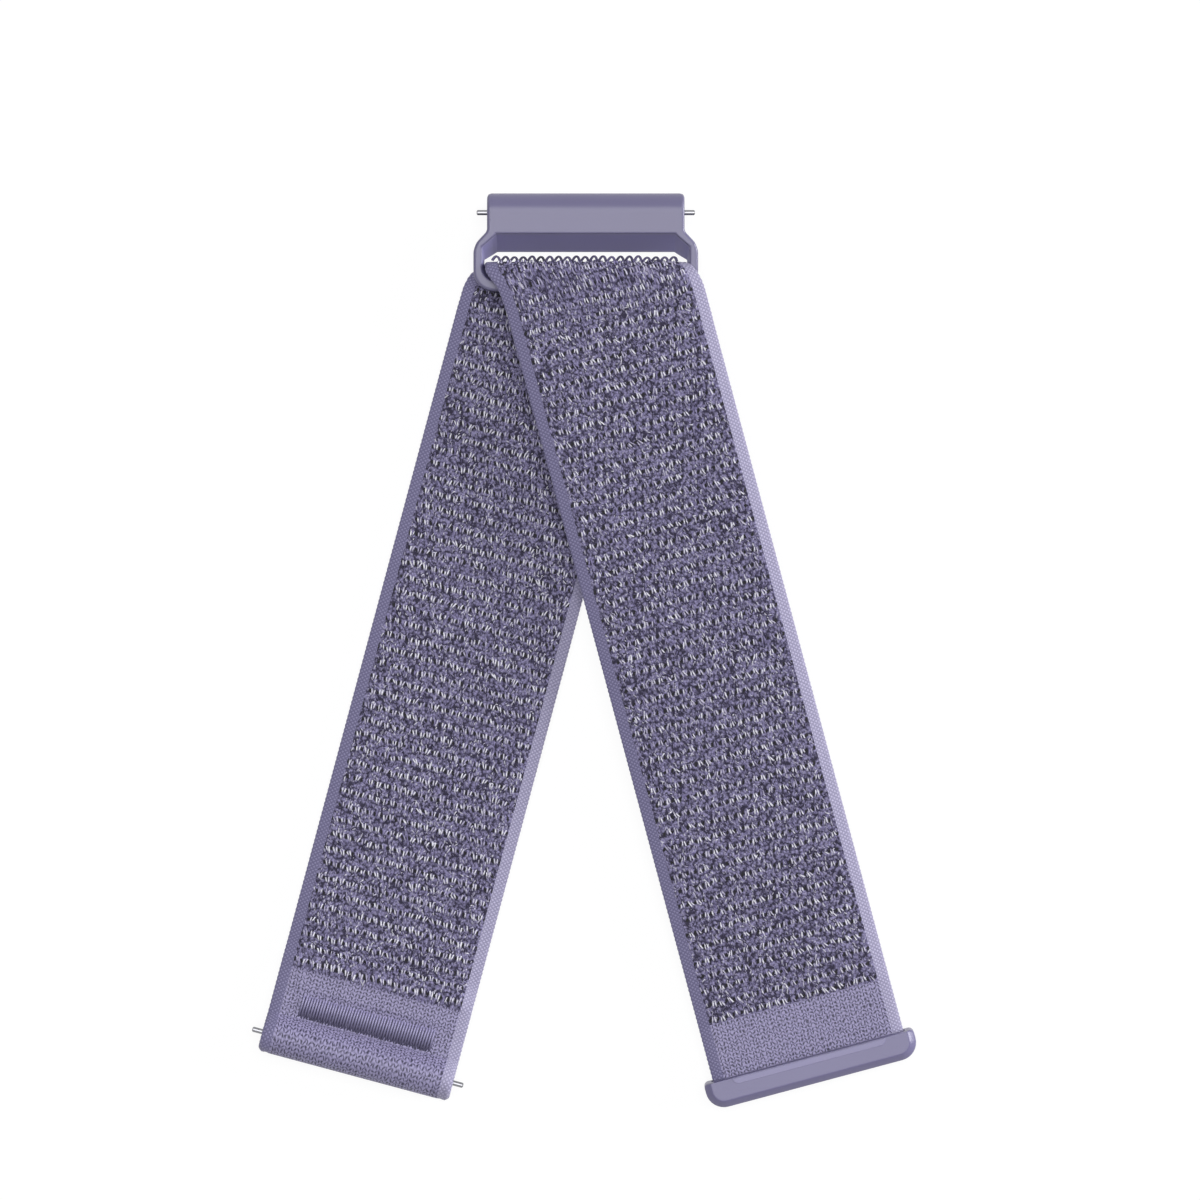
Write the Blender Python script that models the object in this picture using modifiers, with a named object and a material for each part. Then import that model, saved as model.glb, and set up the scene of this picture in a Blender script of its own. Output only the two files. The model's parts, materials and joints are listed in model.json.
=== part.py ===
"""Woven nylon watch strap that closes on itself, laid flat with its flap pulled through the ring.

The strap lies on its skin side. The main leg runs down and to the left from the ring's lower bar,
passes behind that bar, turns over it, and comes back down in front as the flap, to the right.
Lengths are in metres. +Y points up the page, from the strap's ends to the ring, and +Z is up.
"""

import math

import bmesh
import bpy
import numpy as np
from mathutils import Matrix, Vector

MM = 0.001
DEG = math.pi / 180

# Webbing
STRAP_WIDTH = 21.5 * MM
PLY_THICKNESS = 1.2 * MM
PILE_HEIGHT = 0.5 * MM
PILE_SETBACK = 0.1 * MM
SELVEDGE_WIDTH = 1.4 * MM
LEG_TILT = 15.03 * DEG
MAIN_LENGTH = 89.12 * MM
FLAP_LENGTH = 86.83 * MM
MAIN_OFFSET = 2.3 * MM
FLAP_OFFSET = 1.73 * MM
PIECE_GAP = 0.3 * MM

# Places, as shares of each leg's length from the ring's lower bar, where the webbing bends
MAIN_BEND_SHARES = (0.427, 0.697)
FLAP_BEND_SHARES = (0.438, 0.714)
BEND_LENGTH = 8.0 * MM

# Turn of the webbing over the ring's lower bar
FOLD_CLEARANCE = 0.3 * MM
FOLD_INNER_REACH = 1.1 * MM
FOLD_OUTER_REACH = 2.78 * MM
FOLD_INNER_HALF = 10.35 * MM
FOLD_OUTER_HALF = 10.85 * MM
FOLD_RUN_OUT = 4.5 * MM
FOLD_PULL_ANGLE = 30 * DEG
FOLD_SLACK_SHARE = 0.05
FOLD_STEPS = 18
RUN_OUT_STEPS = 3

# Ring, with its lower bar as the origin
RING_BAR_WIDTH = 1.1 * MM
RING_BAR_DEPTH = 1.8 * MM
RING_HALF_WIDTH = 12.23 * MM
RING_HEIGHT = 10.17 * MM
RING_CORNER = 2.2 * MM
BODY_HALF_WIDTH = 10.75 * MM
BODY_ROLL = 2.1 * MM
BODY_BACK_ROLL = 2.1 * MM
SHOULDER_TOP = 5.97 * MM
SHOULDER_REACH = 11.9 * MM
SHOULDER_MIDDLE = 4.74 * MM
SHOULDER_LOW = 3.85 * MM
WINDOW_TOP_HALF = 9.68 * MM
WINDOW_HALF_WIDTH = 11.3 * MM
WINDOW_FRONT_TOP = 5.64 * MM
WINDOW_FRONT_SHOULDER = 4.24 * MM
WINDOW_BACK_TOP = 3.86 * MM
WINDOW_BACK_SHOULDER = 2.93 * MM
WINDOW_DRAFT = 0.26 * MM
WINDOW_CORNER = 1.3 * MM
RING_EDGE = 0.25 * MM
GUSSET_START = 2.6 * MM
GUSSET_END = 3.6 * MM
BORE_FROM_TOP = 2.1 * MM

# Quick-release spring bars, one in the ring and one in the strap's end loop
BARREL_LENGTH = 21.0 * MM
BARREL_RADIUS = 0.75 * MM
BARREL_WALL = 0.2 * MM
CRIMP_LENGTH = 0.4 * MM
CRIMP_OPENING = 0.43 * MM
TIP_REACH = 1.4 * MM
TIP_RADIUS = 0.29 * MM
TIP_CHAMFER = 0.1 * MM
TIP_TRAVEL = 1.2 * MM
PLUNGER_LENGTH = 4.0 * MM
RUNNING_CLEARANCE = 0.07 * MM
BARREL_SEAT_CLEARANCE = 0.12 * MM
LEVER_FROM_END = 3.0 * MM
LEVER_RADIUS = 0.3 * MM
KNOB_RADIUS = 0.45 * MM
KNOB_HEIGHT = 0.5 * MM
LEVER_CLEARANCE = 0.13 * MM
LEVER_RECESS = 0.3 * MM
SPRING_WIRE = 0.16 * MM
SPRING_TURNS = 10
SPRING_POINTS_PER_TURN = 10
ROUND_STEPS = 16

# Sewn loop at the strap's end
LOOP_CLEARANCE = 0.15 * MM
LOOP_NECK_ANGLE = 130 * DEG
PLY_GAP = 0.2 * MM
TAIL_LENGTH = 9.58 * MM
RAMP_LENGTH = 3.1 * MM
PLAIN_END_LENGTH = 10.04 * MM

# Bartack that closes the loop
TACK_LENGTH = 15.0 * MM
TACK_WIDTH = 2.7 * MM
TACK_FROM_END = 5.84 * MM
TACK_THICKNESS = 0.3 * MM
TACK_SINK = 0.25 * MM
TACK_RIDGES = 48
TACK_RIDGE_HEIGHT = 0.09 * MM
TACK_CREST_SHARES = (0.25, 0.75)
TACK_SEAM_WIDTH = 0.8 * MM
TACK_CLEARANCE = 0.15 * MM

# Flap end: plain zone, hook patch and moulded cap
PLAIN_FLAP_LENGTH = 6.33 * MM
CAP_LENGTH = 23.62 * MM
CAP_HEIGHT = 3.05 * MM
CAP_THICKNESS = 3.4 * MM
CAP_LOWER_CORNER = 2.0 * MM
CAP_UPPER_CORNER = 0.5 * MM
CAP_EDGE = 0.45 * MM
CAP_SLOT_DEPTH = 2.3 * MM
CAP_CLEARANCE = 0.15 * MM
CAP_RELIEF_LENGTH = 17.2 * MM
CAP_RELIEF_HEIGHT = 0.8 * MM
CAP_RELIEF_DEPTH = 0.18 * MM
PATCH_START = 2.7 * MM
PATCH_THICKNESS = 0.45 * MM
PATCH_CLEARANCE = 0.1 * MM
PATCH_CORNER = 1.5 * MM
PATCH_MARGIN = 0.6 * MM

# One overrun serves every cut
OVERRUN = 1.0 * MM
MERGE = 0.001 * MM
SHARP_ANGLE = 40 * DEG

# Sizes that follow from those above
STRAP_THICKNESS = PLY_THICKNESS + 2 * PILE_HEIGHT
STRAP_MIDDLE = STRAP_THICKNESS / 2
HALF_STRAP = STRAP_WIDTH / 2
HALF_PILE = HALF_STRAP - SELVEDGE_WIDTH
MAIN_BENDS = [share * MAIN_LENGTH for share in MAIN_BEND_SHARES]
FLAP_BENDS = [share * FLAP_LENGTH for share in FLAP_BEND_SHARES]
HALF_BEND = BEND_LENGTH / 2
HALF_BAR = RING_BAR_WIDTH / 2
HALF_DEPTH = RING_BAR_DEPTH / 2
BAR_HEIGHT = STRAP_THICKNESS + FOLD_CLEARANCE + HALF_DEPTH
BODY_DEPTH = BAR_HEIGHT + HALF_DEPTH
FLAP_LIFT = HALF_DEPTH + FOLD_CLEARANCE + STRAP_MIDDLE
LOOP_BORE = BARREL_RADIUS + LOOP_CLEARANCE
LOOP_RADIUS = LOOP_BORE + PLY_THICKNESS
LOOP_PLACE = MAIN_LENGTH - LOOP_RADIUS
BORE_PLACE = RING_HEIGHT - BORE_FROM_TOP
PLUNGER_RADIUS = BARREL_RADIUS - BARREL_WALL - RUNNING_CLEARANCE
PLUNGER_STOP = BARREL_LENGTH / 2 - CRIMP_LENGTH - RUNNING_CLEARANCE
LEVER_PLACE = BARREL_LENGTH / 2 - LEVER_FROM_END
CAP_END = FLAP_LENGTH + CAP_HEIGHT

NYLON = ((0.235, 0.205, 0.345, 1.0), 0.9, 0.0)
PLASTIC = ((0.27, 0.24, 0.40, 1.0), 0.45, 0.0)
STEEL = ((0.62, 0.62, 0.63, 1.0), 0.25, 1.0)
THREAD = ((0.20, 0.17, 0.31, 1.0), 0.7, 0.0)
HOOKS = ((0.16, 0.14, 0.24, 1.0), 0.6, 0.0)

pivots = {}


def clear_scene():
    for obj in list(bpy.data.objects):
        bpy.data.objects.remove(obj, do_unlink=True)


def new_collection(name):
    collection = bpy.data.collections.new(name)
    bpy.context.scene.collection.children.link(collection)
    return collection


def finish(obj, look):
    """Gives a piece its own material, and rounds its shading where no modifier shapes it."""
    colour, roughness, metallic = look
    material = bpy.data.materials.new(obj.name)
    material.use_nodes = True
    shader = material.node_tree.nodes["Principled BSDF"]
    shader.inputs["Base Color"].default_value = colour
    shader.inputs["Roughness"].default_value = roughness
    shader.inputs["Metallic"].default_value = metallic
    obj.data.materials.append(material)
    if obj.type == "MESH" and not obj.modifiers:
        obj.data.shade_smooth()
        obj.data.set_sharp_from_angle(angle=SHARP_ANGLE)
    return obj


def new_pivot(name, place, parent=None):
    """An empty on a joint's axis, placed in the strap's layout frame."""
    empty = bpy.data.objects.new(name, None)
    strap.objects.link(empty)
    pivots[name] = (empty, place)
    hang(empty, place, parent)
    return empty


def hang(obj, place, parent):
    """Places an object by its layout matrix under the pivot that carries it."""
    if parent is None:
        obj.matrix_basis = place
        return obj
    carrier, carrier_place = pivots[parent]
    obj.parent = carrier
    obj.matrix_basis = carrier_place.inverted() @ place
    return obj


def as_cutter(obj):
    """Moves an object to the helpers, so that it shows as a wire outline only."""
    strap.objects.unlink(obj)
    helpers.objects.link(obj)
    obj.hide_render = True
    obj.display_type = "WIRE"
    return obj


def combine(target, other, operation):
    modifier = target.modifiers.new(other.name, "BOOLEAN")
    modifier.operation = operation
    modifier.object = as_cutter(other)
    modifier.solver = "EXACT"
    return target


def soften(obj, width, segments):
    """Rounds an object's sharp edges before anything is cut from it."""
    modifier = obj.modifiers.new("rounded edges", "BEVEL")
    modifier.width = width
    modifier.segments = segments
    modifier.limit_method = "ANGLE"
    modifier.angle_limit = SHARP_ANGLE
    return obj


def object_from(name, mesh):
    obj = bpy.data.objects.new(name, mesh)
    strap.objects.link(obj)
    return obj


def flat_shape(name, outline, low, high, turn=None):
    """A flat outline given thickness from low to high, then turned to face its own way."""
    curve = bpy.data.curves.new(name, "CURVE")
    curve.dimensions = "2D"
    curve.fill_mode = "BOTH"
    curve.extrude = (high - low) / 2
    spline = curve.splines.new("POLY")
    spline.points.add(len(outline) - 1)
    for point, (u, v) in zip(spline.points, outline):
        point.co = (u, v, 0, 1)
    spline.use_cyclic_u = True
    guide = object_from(name + " outline", curve)
    bpy.context.view_layer.update()
    graph = bpy.context.evaluated_depsgraph_get()
    mesh = bpy.data.meshes.new_from_object(guide.evaluated_get(graph))
    bpy.data.objects.remove(guide, do_unlink=True)
    mesh.name = name
    mesh.transform(Matrix.Translation((0, 0, (low + high) / 2)))
    if turn is not None:
        mesh.transform(turn)
    tidy_mesh(mesh)
    return object_from(name, mesh)


def tidy_mesh(mesh):
    """Welds a mesh's caps to its sides, turns its faces outwards and shades them flat."""
    work = bmesh.new()
    work.from_mesh(mesh)
    bmesh.ops.remove_doubles(work, verts=work.verts, dist=MERGE)
    bmesh.ops.recalc_face_normals(work, faces=work.faces)
    work.to_mesh(mesh)
    work.free()
    mesh.shade_flat()


# An outline of (distance down the leg, height) becomes a slab that runs across the leg
SIDE_VIEW = Matrix(((0, 0, 1, 0), (-1, 0, 0, 0), (0, 1, 0, 0), (0, 0, 0, 1)))
# An outline of (distance across, height) becomes a slab that runs along the leg
END_VIEW = Matrix(((1, 0, 0, 0), (0, 0, 1, 0), (0, 1, 0, 0), (0, 0, 0, 1)))
# An outline of (distance up the page, height) becomes a slab that runs across the ring
RING_VIEW = Matrix(((0, 0, 1, 0), (1, 0, 0, 0), (0, 1, 0, 0), (0, 0, 0, 1)))


def arc(centre, radius, first, last, steps=6):
    """Points along an arc, from its first angle to its last."""
    angles = np.linspace(first, last, steps + 1)
    return [(centre[0] + radius * math.cos(a), centre[1] + radius * math.sin(a)) for a in angles]


def mirrored(right_half):
    """A closed outline from the points of its right half, top to bottom."""
    return right_half + [(-x, y) for x, y in reversed(right_half)]


def block(name, low_corner, high_corner):
    """A box between two corners."""
    low = Vector(low_corner)
    high = Vector(high_corner)
    work = bmesh.new()
    bmesh.ops.create_cube(work, size=1)
    bmesh.ops.scale(work, vec=high - low, verts=work.verts)
    bmesh.ops.translate(work, vec=(low + high) / 2, verts=work.verts)
    mesh = bpy.data.meshes.new(name)
    work.to_mesh(mesh)
    work.free()
    return object_from(name, mesh)


def turned_shape(name, profile, closed):
    """A profile of (radius, place along the axis) turned about its own Z axis."""
    mesh = bpy.data.meshes.new(name)
    edges = [(i, i + 1) for i in range(len(profile) - 1)]
    if closed:
        edges.append((len(profile) - 1, 0))
    mesh.from_pydata([(radius, 0, place) for radius, place in profile], edges, [])
    obj = object_from(name, mesh)
    screw = obj.modifiers.new("turned", "SCREW")
    screw.steps = ROUND_STEPS
    screw.render_steps = ROUND_STEPS
    screw.use_merge_vertices = True
    screw.merge_threshold = MERGE
    screw.use_smooth_shade = True
    return obj


def loft(name, sections):
    """A closed skin over sections that have the same number of points, capped at both ends."""
    count = len(sections[0])
    faces = [tuple(range(count))[::-1]]
    for row in range(len(sections) - 1):
        base = row * count
        for i in range(count):
            j = (i + 1) % count
            faces.append((base + i, base + j, base + count + j, base + count + i))
    last = (len(sections) - 1) * count
    faces.append(tuple(range(last, last + count)))
    mesh = bpy.data.meshes.new(name)
    mesh.from_pydata([point for section in sections for point in section], [], faces)
    tidy_mesh(mesh)
    return object_from(name, mesh)


def along_leg(half_width, start, end, turn, square):
    """Corners of a stretch of leg in its own plane, its start cut square or in line with the bar."""

    def first(x):
        return start if square else (start + x * math.sin(turn)) / math.cos(turn)

    left, right = -half_width, half_width
    return [(left, -first(left)), (left, -end), (right, -end), (right, -first(right))]


def stretch(name, start, end, turn, square=True, pile_ends=(None, None)):
    """A stretch of webbing: the ply across the whole width, and the raised pile between its edges.

    pile_ends gives where the upper and the lower pile stop, if that is short of the end. A pile
    that stops at the start or before it is left out.
    """
    half_ply = PLY_THICKNESS / 2
    body = flat_shape(name, along_leg(HALF_STRAP, start, end, turn, square), -half_ply, half_ply)
    levels = ((0, STRAP_MIDDLE), (-STRAP_MIDDLE, 0))
    for side, (low, high), pile_end in zip(("upper", "lower"), levels, pile_ends):
        stop = end - PILE_SETBACK if pile_end is None else pile_end
        if stop <= start:
            continue
        outline = along_leg(HALF_PILE, start + PILE_SETBACK, stop, turn, square)
        pile = flat_shape(f"{name} {side} pile", outline, low, high)
        combine(body, pile, "UNION")
    return body


def joined_to(target, place, parent):
    """Hangs an object, and the helpers that shape it, in one place."""
    hang(target, place, parent)
    for modifier in target.modifiers:
        if modifier.type == "BOOLEAN" and modifier.object.parent is None:
            hang(modifier.object, place, parent)
    return target


def ring_frame(place):
    """Moulded ring: a thick bar that holds the spring bar, and a thin loop for the webbing."""
    top = HALF_DEPTH
    floor = -BAR_HEIGHT
    low_corner = (RING_HALF_WIDTH - RING_CORNER, RING_CORNER - HALF_BAR)
    loop_outline = mirrored(
        [
            (BODY_HALF_WIDTH - BODY_ROLL, SHOULDER_TOP + BODY_ROLL),
            (BODY_HALF_WIDTH - RING_EDGE, SHOULDER_TOP + RING_EDGE),
            (BODY_HALF_WIDTH, SHOULDER_TOP),
            (SHOULDER_REACH, SHOULDER_MIDDLE),
            (RING_HALF_WIDTH, SHOULDER_LOW),
            *arc(low_corner, RING_CORNER, 0, -math.pi / 2),
        ]
    )
    ring = soften(flat_shape("ring_frame", loop_outline, -HALF_DEPTH, top), RING_EDGE, 2)

    roll = (RING_HEIGHT - BODY_ROLL, top - BODY_ROLL)
    back_roll = (RING_HEIGHT - BODY_BACK_ROLL, floor + BODY_BACK_ROLL)
    section = [
        (GUSSET_END, top),
        *arc(roll, BODY_ROLL, math.pi / 2, 0),
        *arc(back_roll, BODY_BACK_ROLL, 0, -math.pi / 2, 4),
        (GUSSET_END, floor),
    ]
    body = flat_shape("ring body", section, -BODY_HALF_WIDTH, BODY_HALF_WIDTH, RING_VIEW)
    combine(ring, soften(body, RING_EDGE, 2), "UNION")

    # The space under the loop where the main leg lies
    reach = RING_HALF_WIDTH + OVERRUN
    under = [
        (-RING_HALF_WIDTH, -HALF_DEPTH),
        (GUSSET_START, -HALF_DEPTH),
        (GUSSET_END, floor),
        (GUSSET_END, floor - OVERRUN),
        (-RING_HALF_WIDTH, floor - OVERRUN),
    ]
    combine(ring, flat_shape("ring underside", under, -reach, reach, RING_VIEW), "DIFFERENCE")

    # The window, whose upper wall slopes back towards the underside
    def window(upper, shoulder, half, height):
        corner = (half - WINDOW_CORNER, HALF_BAR + WINDOW_CORNER)
        half_outline = [
            (WINDOW_TOP_HALF, upper),
            (half, shoulder),
            *arc(corner, WINDOW_CORNER, 0, -math.pi / 2, 5),
        ]
        return [(x, y, height) for x, y in mirrored(half_outline)]

    slope = (WINDOW_FRONT_TOP - WINDOW_BACK_TOP) / BODY_DEPTH
    bend = (WINDOW_FRONT_SHOULDER - WINDOW_BACK_SHOULDER) / BODY_DEPTH
    draft = WINDOW_DRAFT / BODY_DEPTH
    spread = OVERRUN * slope
    front = window(
        WINDOW_FRONT_TOP + spread,
        WINDOW_FRONT_SHOULDER + OVERRUN * bend,
        WINDOW_HALF_WIDTH + OVERRUN * draft,
        top + OVERRUN,
    )
    back = window(
        WINDOW_BACK_TOP - spread,
        WINDOW_BACK_SHOULDER - OVERRUN * bend,
        WINDOW_HALF_WIDTH - WINDOW_DRAFT - OVERRUN * draft,
        floor - OVERRUN,
    )
    combine(ring, loft("ring window", [back, front]), "DIFFERENCE")

    # The bore for the spring bar, and the slot that its lever slides in
    bore = bore_cutter("ring bore", BARREL_RADIUS + BARREL_SEAT_CLEARANCE)
    slot = lever_slot("ring lever slot", BODY_DEPTH)
    seat = pivots["ring_bar_seat"][1]
    for cutter, turn in ((bore, LIE_ALONG_X), (slot, Matrix())):
        combine(ring, cutter, "DIFFERENCE")
        hang(cutter, seat @ turn, "ring_pivot")
    return finish(joined_to(ring, place, "ring_pivot"), PLASTIC)


# Turns a shape made along its own Z axis to lie across the strap, towards +X
LIE_ALONG_X = Matrix.Rotation(math.pi / 2, 4, "Y")


def bore_cutter(name, radius):
    """A round cutter, longer than the spring bar."""
    reach = BODY_HALF_WIDTH + OVERRUN
    return turned_shape(name, [(0, reach), (radius, reach), (radius, -reach), (0, -reach)], False)


def lever_slot(name, depth):
    """A slot below the bar, as long as the lever's travel."""
    half = KNOB_RADIUS + LEVER_CLEARANCE
    low = (LEVER_PLACE - TIP_TRAVEL - half, -half, -depth)
    high = (LEVER_PLACE + half, half, 0)
    return block(name, low, high)


def spring_bar(prefix, seat, carrier, depth):
    """Barrel, two sprung tips, the coil between them, and the lever that draws one tip in.

    depth is how far the outside of what holds the bar lies below the bar's axis.
    """
    end = BARREL_LENGTH / 2
    bore = BARREL_RADIUS - BARREL_WALL
    mouth = CRIMP_OPENING
    inner = end - CRIMP_LENGTH
    along = seat @ LIE_ALONG_X
    profile = [
        (BARREL_RADIUS - TIP_CHAMFER, end),
        (BARREL_RADIUS, end - TIP_CHAMFER),
        (BARREL_RADIUS, TIP_CHAMFER - end),
        (BARREL_RADIUS - TIP_CHAMFER, -end),
        (mouth, -end),
        (mouth, -inner),
        (bore, -inner),
        (bore, inner),
        (mouth, inner),
        (mouth, end),
    ]
    barrel = turned_shape(f"{prefix}_bar_barrel", profile, True)
    half = LEVER_RADIUS + LEVER_CLEARANCE
    low = (LEVER_PLACE - TIP_TRAVEL - half, -half, -BARREL_RADIUS - OVERRUN)
    high = (LEVER_PLACE + half, half, -PLUNGER_RADIUS / 2)
    slot = block(f"{prefix} barrel slot", low, high)
    combine(barrel, slot, "DIFFERENCE")
    hang(barrel, along, carrier)
    hang(slot, seat, carrier)
    finish(barrel, STEEL)

    head = PLUNGER_STOP - PLUNGER_LENGTH
    reach = end + TIP_REACH
    tip_profile = [
        (0, reach),
        (TIP_RADIUS - TIP_CHAMFER, reach),
        (TIP_RADIUS, reach - TIP_CHAMFER),
        (TIP_RADIUS, PLUNGER_STOP),
        (PLUNGER_RADIUS, PLUNGER_STOP),
        (PLUNGER_RADIUS, head),
        (0, head),
    ]
    about = Matrix.Rotation(math.pi, 4, "Z")
    for side, turn in (("right", Matrix()), ("left", about)):
        tip = turned_shape(f"{prefix}_bar_tip_{side}", tip_profile, False)
        hang(tip, seat @ turn @ LIE_ALONG_X, carrier)
        finish(tip, STEEL)

    top = -PLUNGER_RADIUS - RUNNING_CLEARANCE
    bottom = LEVER_RECESS - depth
    lever_profile = [
        (0, top),
        (LEVER_RADIUS, top),
        (LEVER_RADIUS, bottom + KNOB_HEIGHT),
        (KNOB_RADIUS, bottom + KNOB_HEIGHT),
        (KNOB_RADIUS, bottom),
        (0, bottom),
    ]
    lever = turned_shape(f"{prefix}_bar_lever", lever_profile, False)
    hang(lever, seat @ Matrix.Translation((LEVER_PLACE, 0, 0)), carrier)
    finish(lever, STEEL)

    coil = coil_spring(f"{prefix}_bar_spring", 2 * (head - RUNNING_CLEARANCE), bore)
    hang(coil, seat, carrier)
    finish(coil, STEEL)


def coil_spring(name, length, bore):
    """One round wire wound in a helix along X, inside a bore."""
    wire = SPRING_WIRE / 2
    radius = bore - wire - RUNNING_CLEARANCE
    count = SPRING_TURNS * SPRING_POINTS_PER_TURN + 1
    share = np.linspace(0, 1, count)
    angle = share * 2 * math.pi * SPRING_TURNS
    run = (share * 2 - 1) * (length / 2 - wire)
    points = np.stack([run, radius * np.cos(angle), radius * np.sin(angle)], axis=1)
    apart = points[:, None, :] - points[None, :, :]
    distance = np.linalg.norm(apart, axis=2)
    rows = np.arange(count)
    far = np.abs(rows[:, None] - rows[None, :]) > SPRING_POINTS_PER_TURN / 2
    least = distance[far].min() - SPRING_WIRE
    print(f"{name}: least gap between turns {least / MM:.2f} mm")
    curve = bpy.data.curves.new(name, "CURVE")
    curve.dimensions = "3D"
    curve.bevel_depth = wire
    curve.bevel_resolution = 1
    curve.use_fill_caps = True
    spline = curve.splines.new("POLY")
    spline.points.add(count - 1)
    for point, place in zip(spline.points, points):
        point.co = (*place, 1)
    return object_from(name, curve)


def webbing_fold(slope):
    """The turn of the strap over the bar, from the main leg's end to the flap's start.

    The strap draws in and shifts sideways as it goes through the ring's window.
    """
    half_leg = HALF_STRAP / math.cos(LEG_TILT)
    lift = BAR_HEIGHT
    inner_lift = HALF_DEPTH + FOLD_CLEARANCE
    outer_lift = inner_lift + STRAP_THICKNESS
    slack = FOLD_SLACK_SHARE * FLAP_OFFSET
    sections = []

    def section(angle, run):
        drawn = min(1, math.sin(angle) / math.sin(FOLD_PULL_ANGLE))
        near = 1 - drawn
        if angle < math.pi / 2:
            centre = -(MAIN_OFFSET * near + slack * drawn)
        else:
            centre = FLAP_OFFSET * near + slack * drawn + run * math.tan(LEG_TILT)
        inner_half = half_leg * near + FOLD_INNER_HALF * drawn
        outer_half = half_leg * near + FOLD_OUTER_HALF * drawn
        turn = Matrix.Rotation(slope * angle / math.pi, 4, "X")

        def corner(reach, height, x):
            y = reach * math.sin(angle) - run
            z = -height * math.cos(angle)
            return tuple(turn @ Vector((x, y, z)) + Vector((0, 0, lift)))

        return [
            corner(FOLD_INNER_REACH, inner_lift, centre - inner_half),
            corner(FOLD_INNER_REACH, inner_lift, centre + inner_half),
            corner(FOLD_OUTER_REACH, outer_lift, centre + outer_half),
            corner(FOLD_OUTER_REACH, outer_lift, centre - outer_half),
        ]

    first = math.asin(PIECE_GAP / FOLD_OUTER_REACH)
    for angle in np.linspace(first, math.pi, FOLD_STEPS + 1):
        sections.append(section(angle, 0))
    for run in np.linspace(0, FOLD_RUN_OUT - PIECE_GAP, RUN_OUT_STEPS + 1)[1:]:
        sections.append(section(math.pi, run))
    fold = loft("webbing_fold", sections)
    return finish(hang(fold, Matrix(), "strap_root"), NYLON)


def main_end(place):
    """The main leg's end: plain webbing that goes round the spring bar and back under itself."""
    middle = STRAP_MIDDLE
    start = MAIN_BENDS[1] + HALF_BEND + PIECE_GAP
    tail_end = LOOP_PLACE - TAIL_LENGTH + LOOP_RADIUS
    ramp_end = tail_end - PIECE_GAP
    ramp_start = ramp_end - RAMP_LENGTH
    neck = MAIN_LENGTH - TACK_FROM_END + TACK_WIDTH / 2
    raised = PLY_THICKNESS + PLY_GAP
    low, high = PILE_HEIGHT, PILE_HEIGHT + PLY_THICKNESS
    centre = (LOOP_PLACE, LOOP_RADIUS)
    quarter = math.pi / 2
    outline = [
        (start, high),
        (ramp_start, high),
        (ramp_end, raised + PLY_THICKNESS),
        (neck, raised + PLY_THICKNESS),
        *arc(centre, LOOP_RADIUS, LOOP_NECK_ANGLE, -quarter, 16),
        (tail_end, 0),
        (tail_end, PLY_THICKNESS),
        *arc(centre, LOOP_BORE, -quarter, LOOP_NECK_ANGLE, 14),
        (neck + PLY_GAP, raised),
        (ramp_end, raised),
        (ramp_start, low),
        (start, low),
    ]

    def side(name, points, half):
        lowered = [(s, height - middle) for s, height in points]
        return flat_shape(name, lowered, -half, half, SIDE_VIEW)

    body = side("webbing_main_end", outline, HALF_STRAP)
    pile_end = MAIN_LENGTH - PLAIN_END_LENGTH
    climb = (pile_end - ramp_start) / RAMP_LENGTH * (raised - low)
    sunk = low + PLY_THICKNESS / 2
    pile_start = start + PILE_SETBACK
    upper = [
        (pile_start, sunk),
        (ramp_start, sunk),
        (pile_end, sunk + climb),
        (pile_end, high + climb + PILE_HEIGHT),
        (ramp_start, high + PILE_HEIGHT),
        (pile_start, high + PILE_HEIGHT),
    ]
    lower = [(pile_start, 0), (ramp_start, 0), (ramp_start, sunk), (pile_start, sunk)]
    combine(body, side("main end upper pile", upper, HALF_PILE), "UNION")
    combine(body, side("main end lower pile", lower, HALF_PILE), "UNION")

    # The seat of the bartack: a shallow bed above and below, and the seam through both plies
    tack = MAIN_LENGTH - TACK_FROM_END
    half_length = TACK_LENGTH / 2 + TACK_CLEARANCE
    half_width = TACK_WIDTH / 2 + TACK_CLEARANCE
    half_seam = TACK_SEAM_WIDTH / 2 + TACK_CLEARANCE
    top = raised + PLY_THICKNESS - middle
    beds = (
        ("tack bed above", half_length, half_width, top - TACK_SINK - TACK_CLEARANCE, top + OVERRUN),
        (
            "tack bed below",
            half_length,
            half_width,
            -middle - OVERRUN,
            TACK_THICKNESS + TACK_CLEARANCE - middle,
        ),
        ("tack seam", half_length - TACK_WIDTH / 2, half_seam, -middle - OVERRUN, top + OVERRUN),
    )
    for name, across, along, floor, ceiling in beds:
        bed = block(name, (-across, -tack - along, floor), (across, along - tack, ceiling))
        combine(body, bed, "DIFFERENCE")
    slot = lever_slot("strap lever slot", LOOP_RADIUS + OVERRUN)
    combine(body, slot, "DIFFERENCE")
    hang(slot, pivots["strap_bar_seat"][1], "main_bend_2")
    return finish(joined_to(body, place, "main_bend_2"), NYLON)


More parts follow.
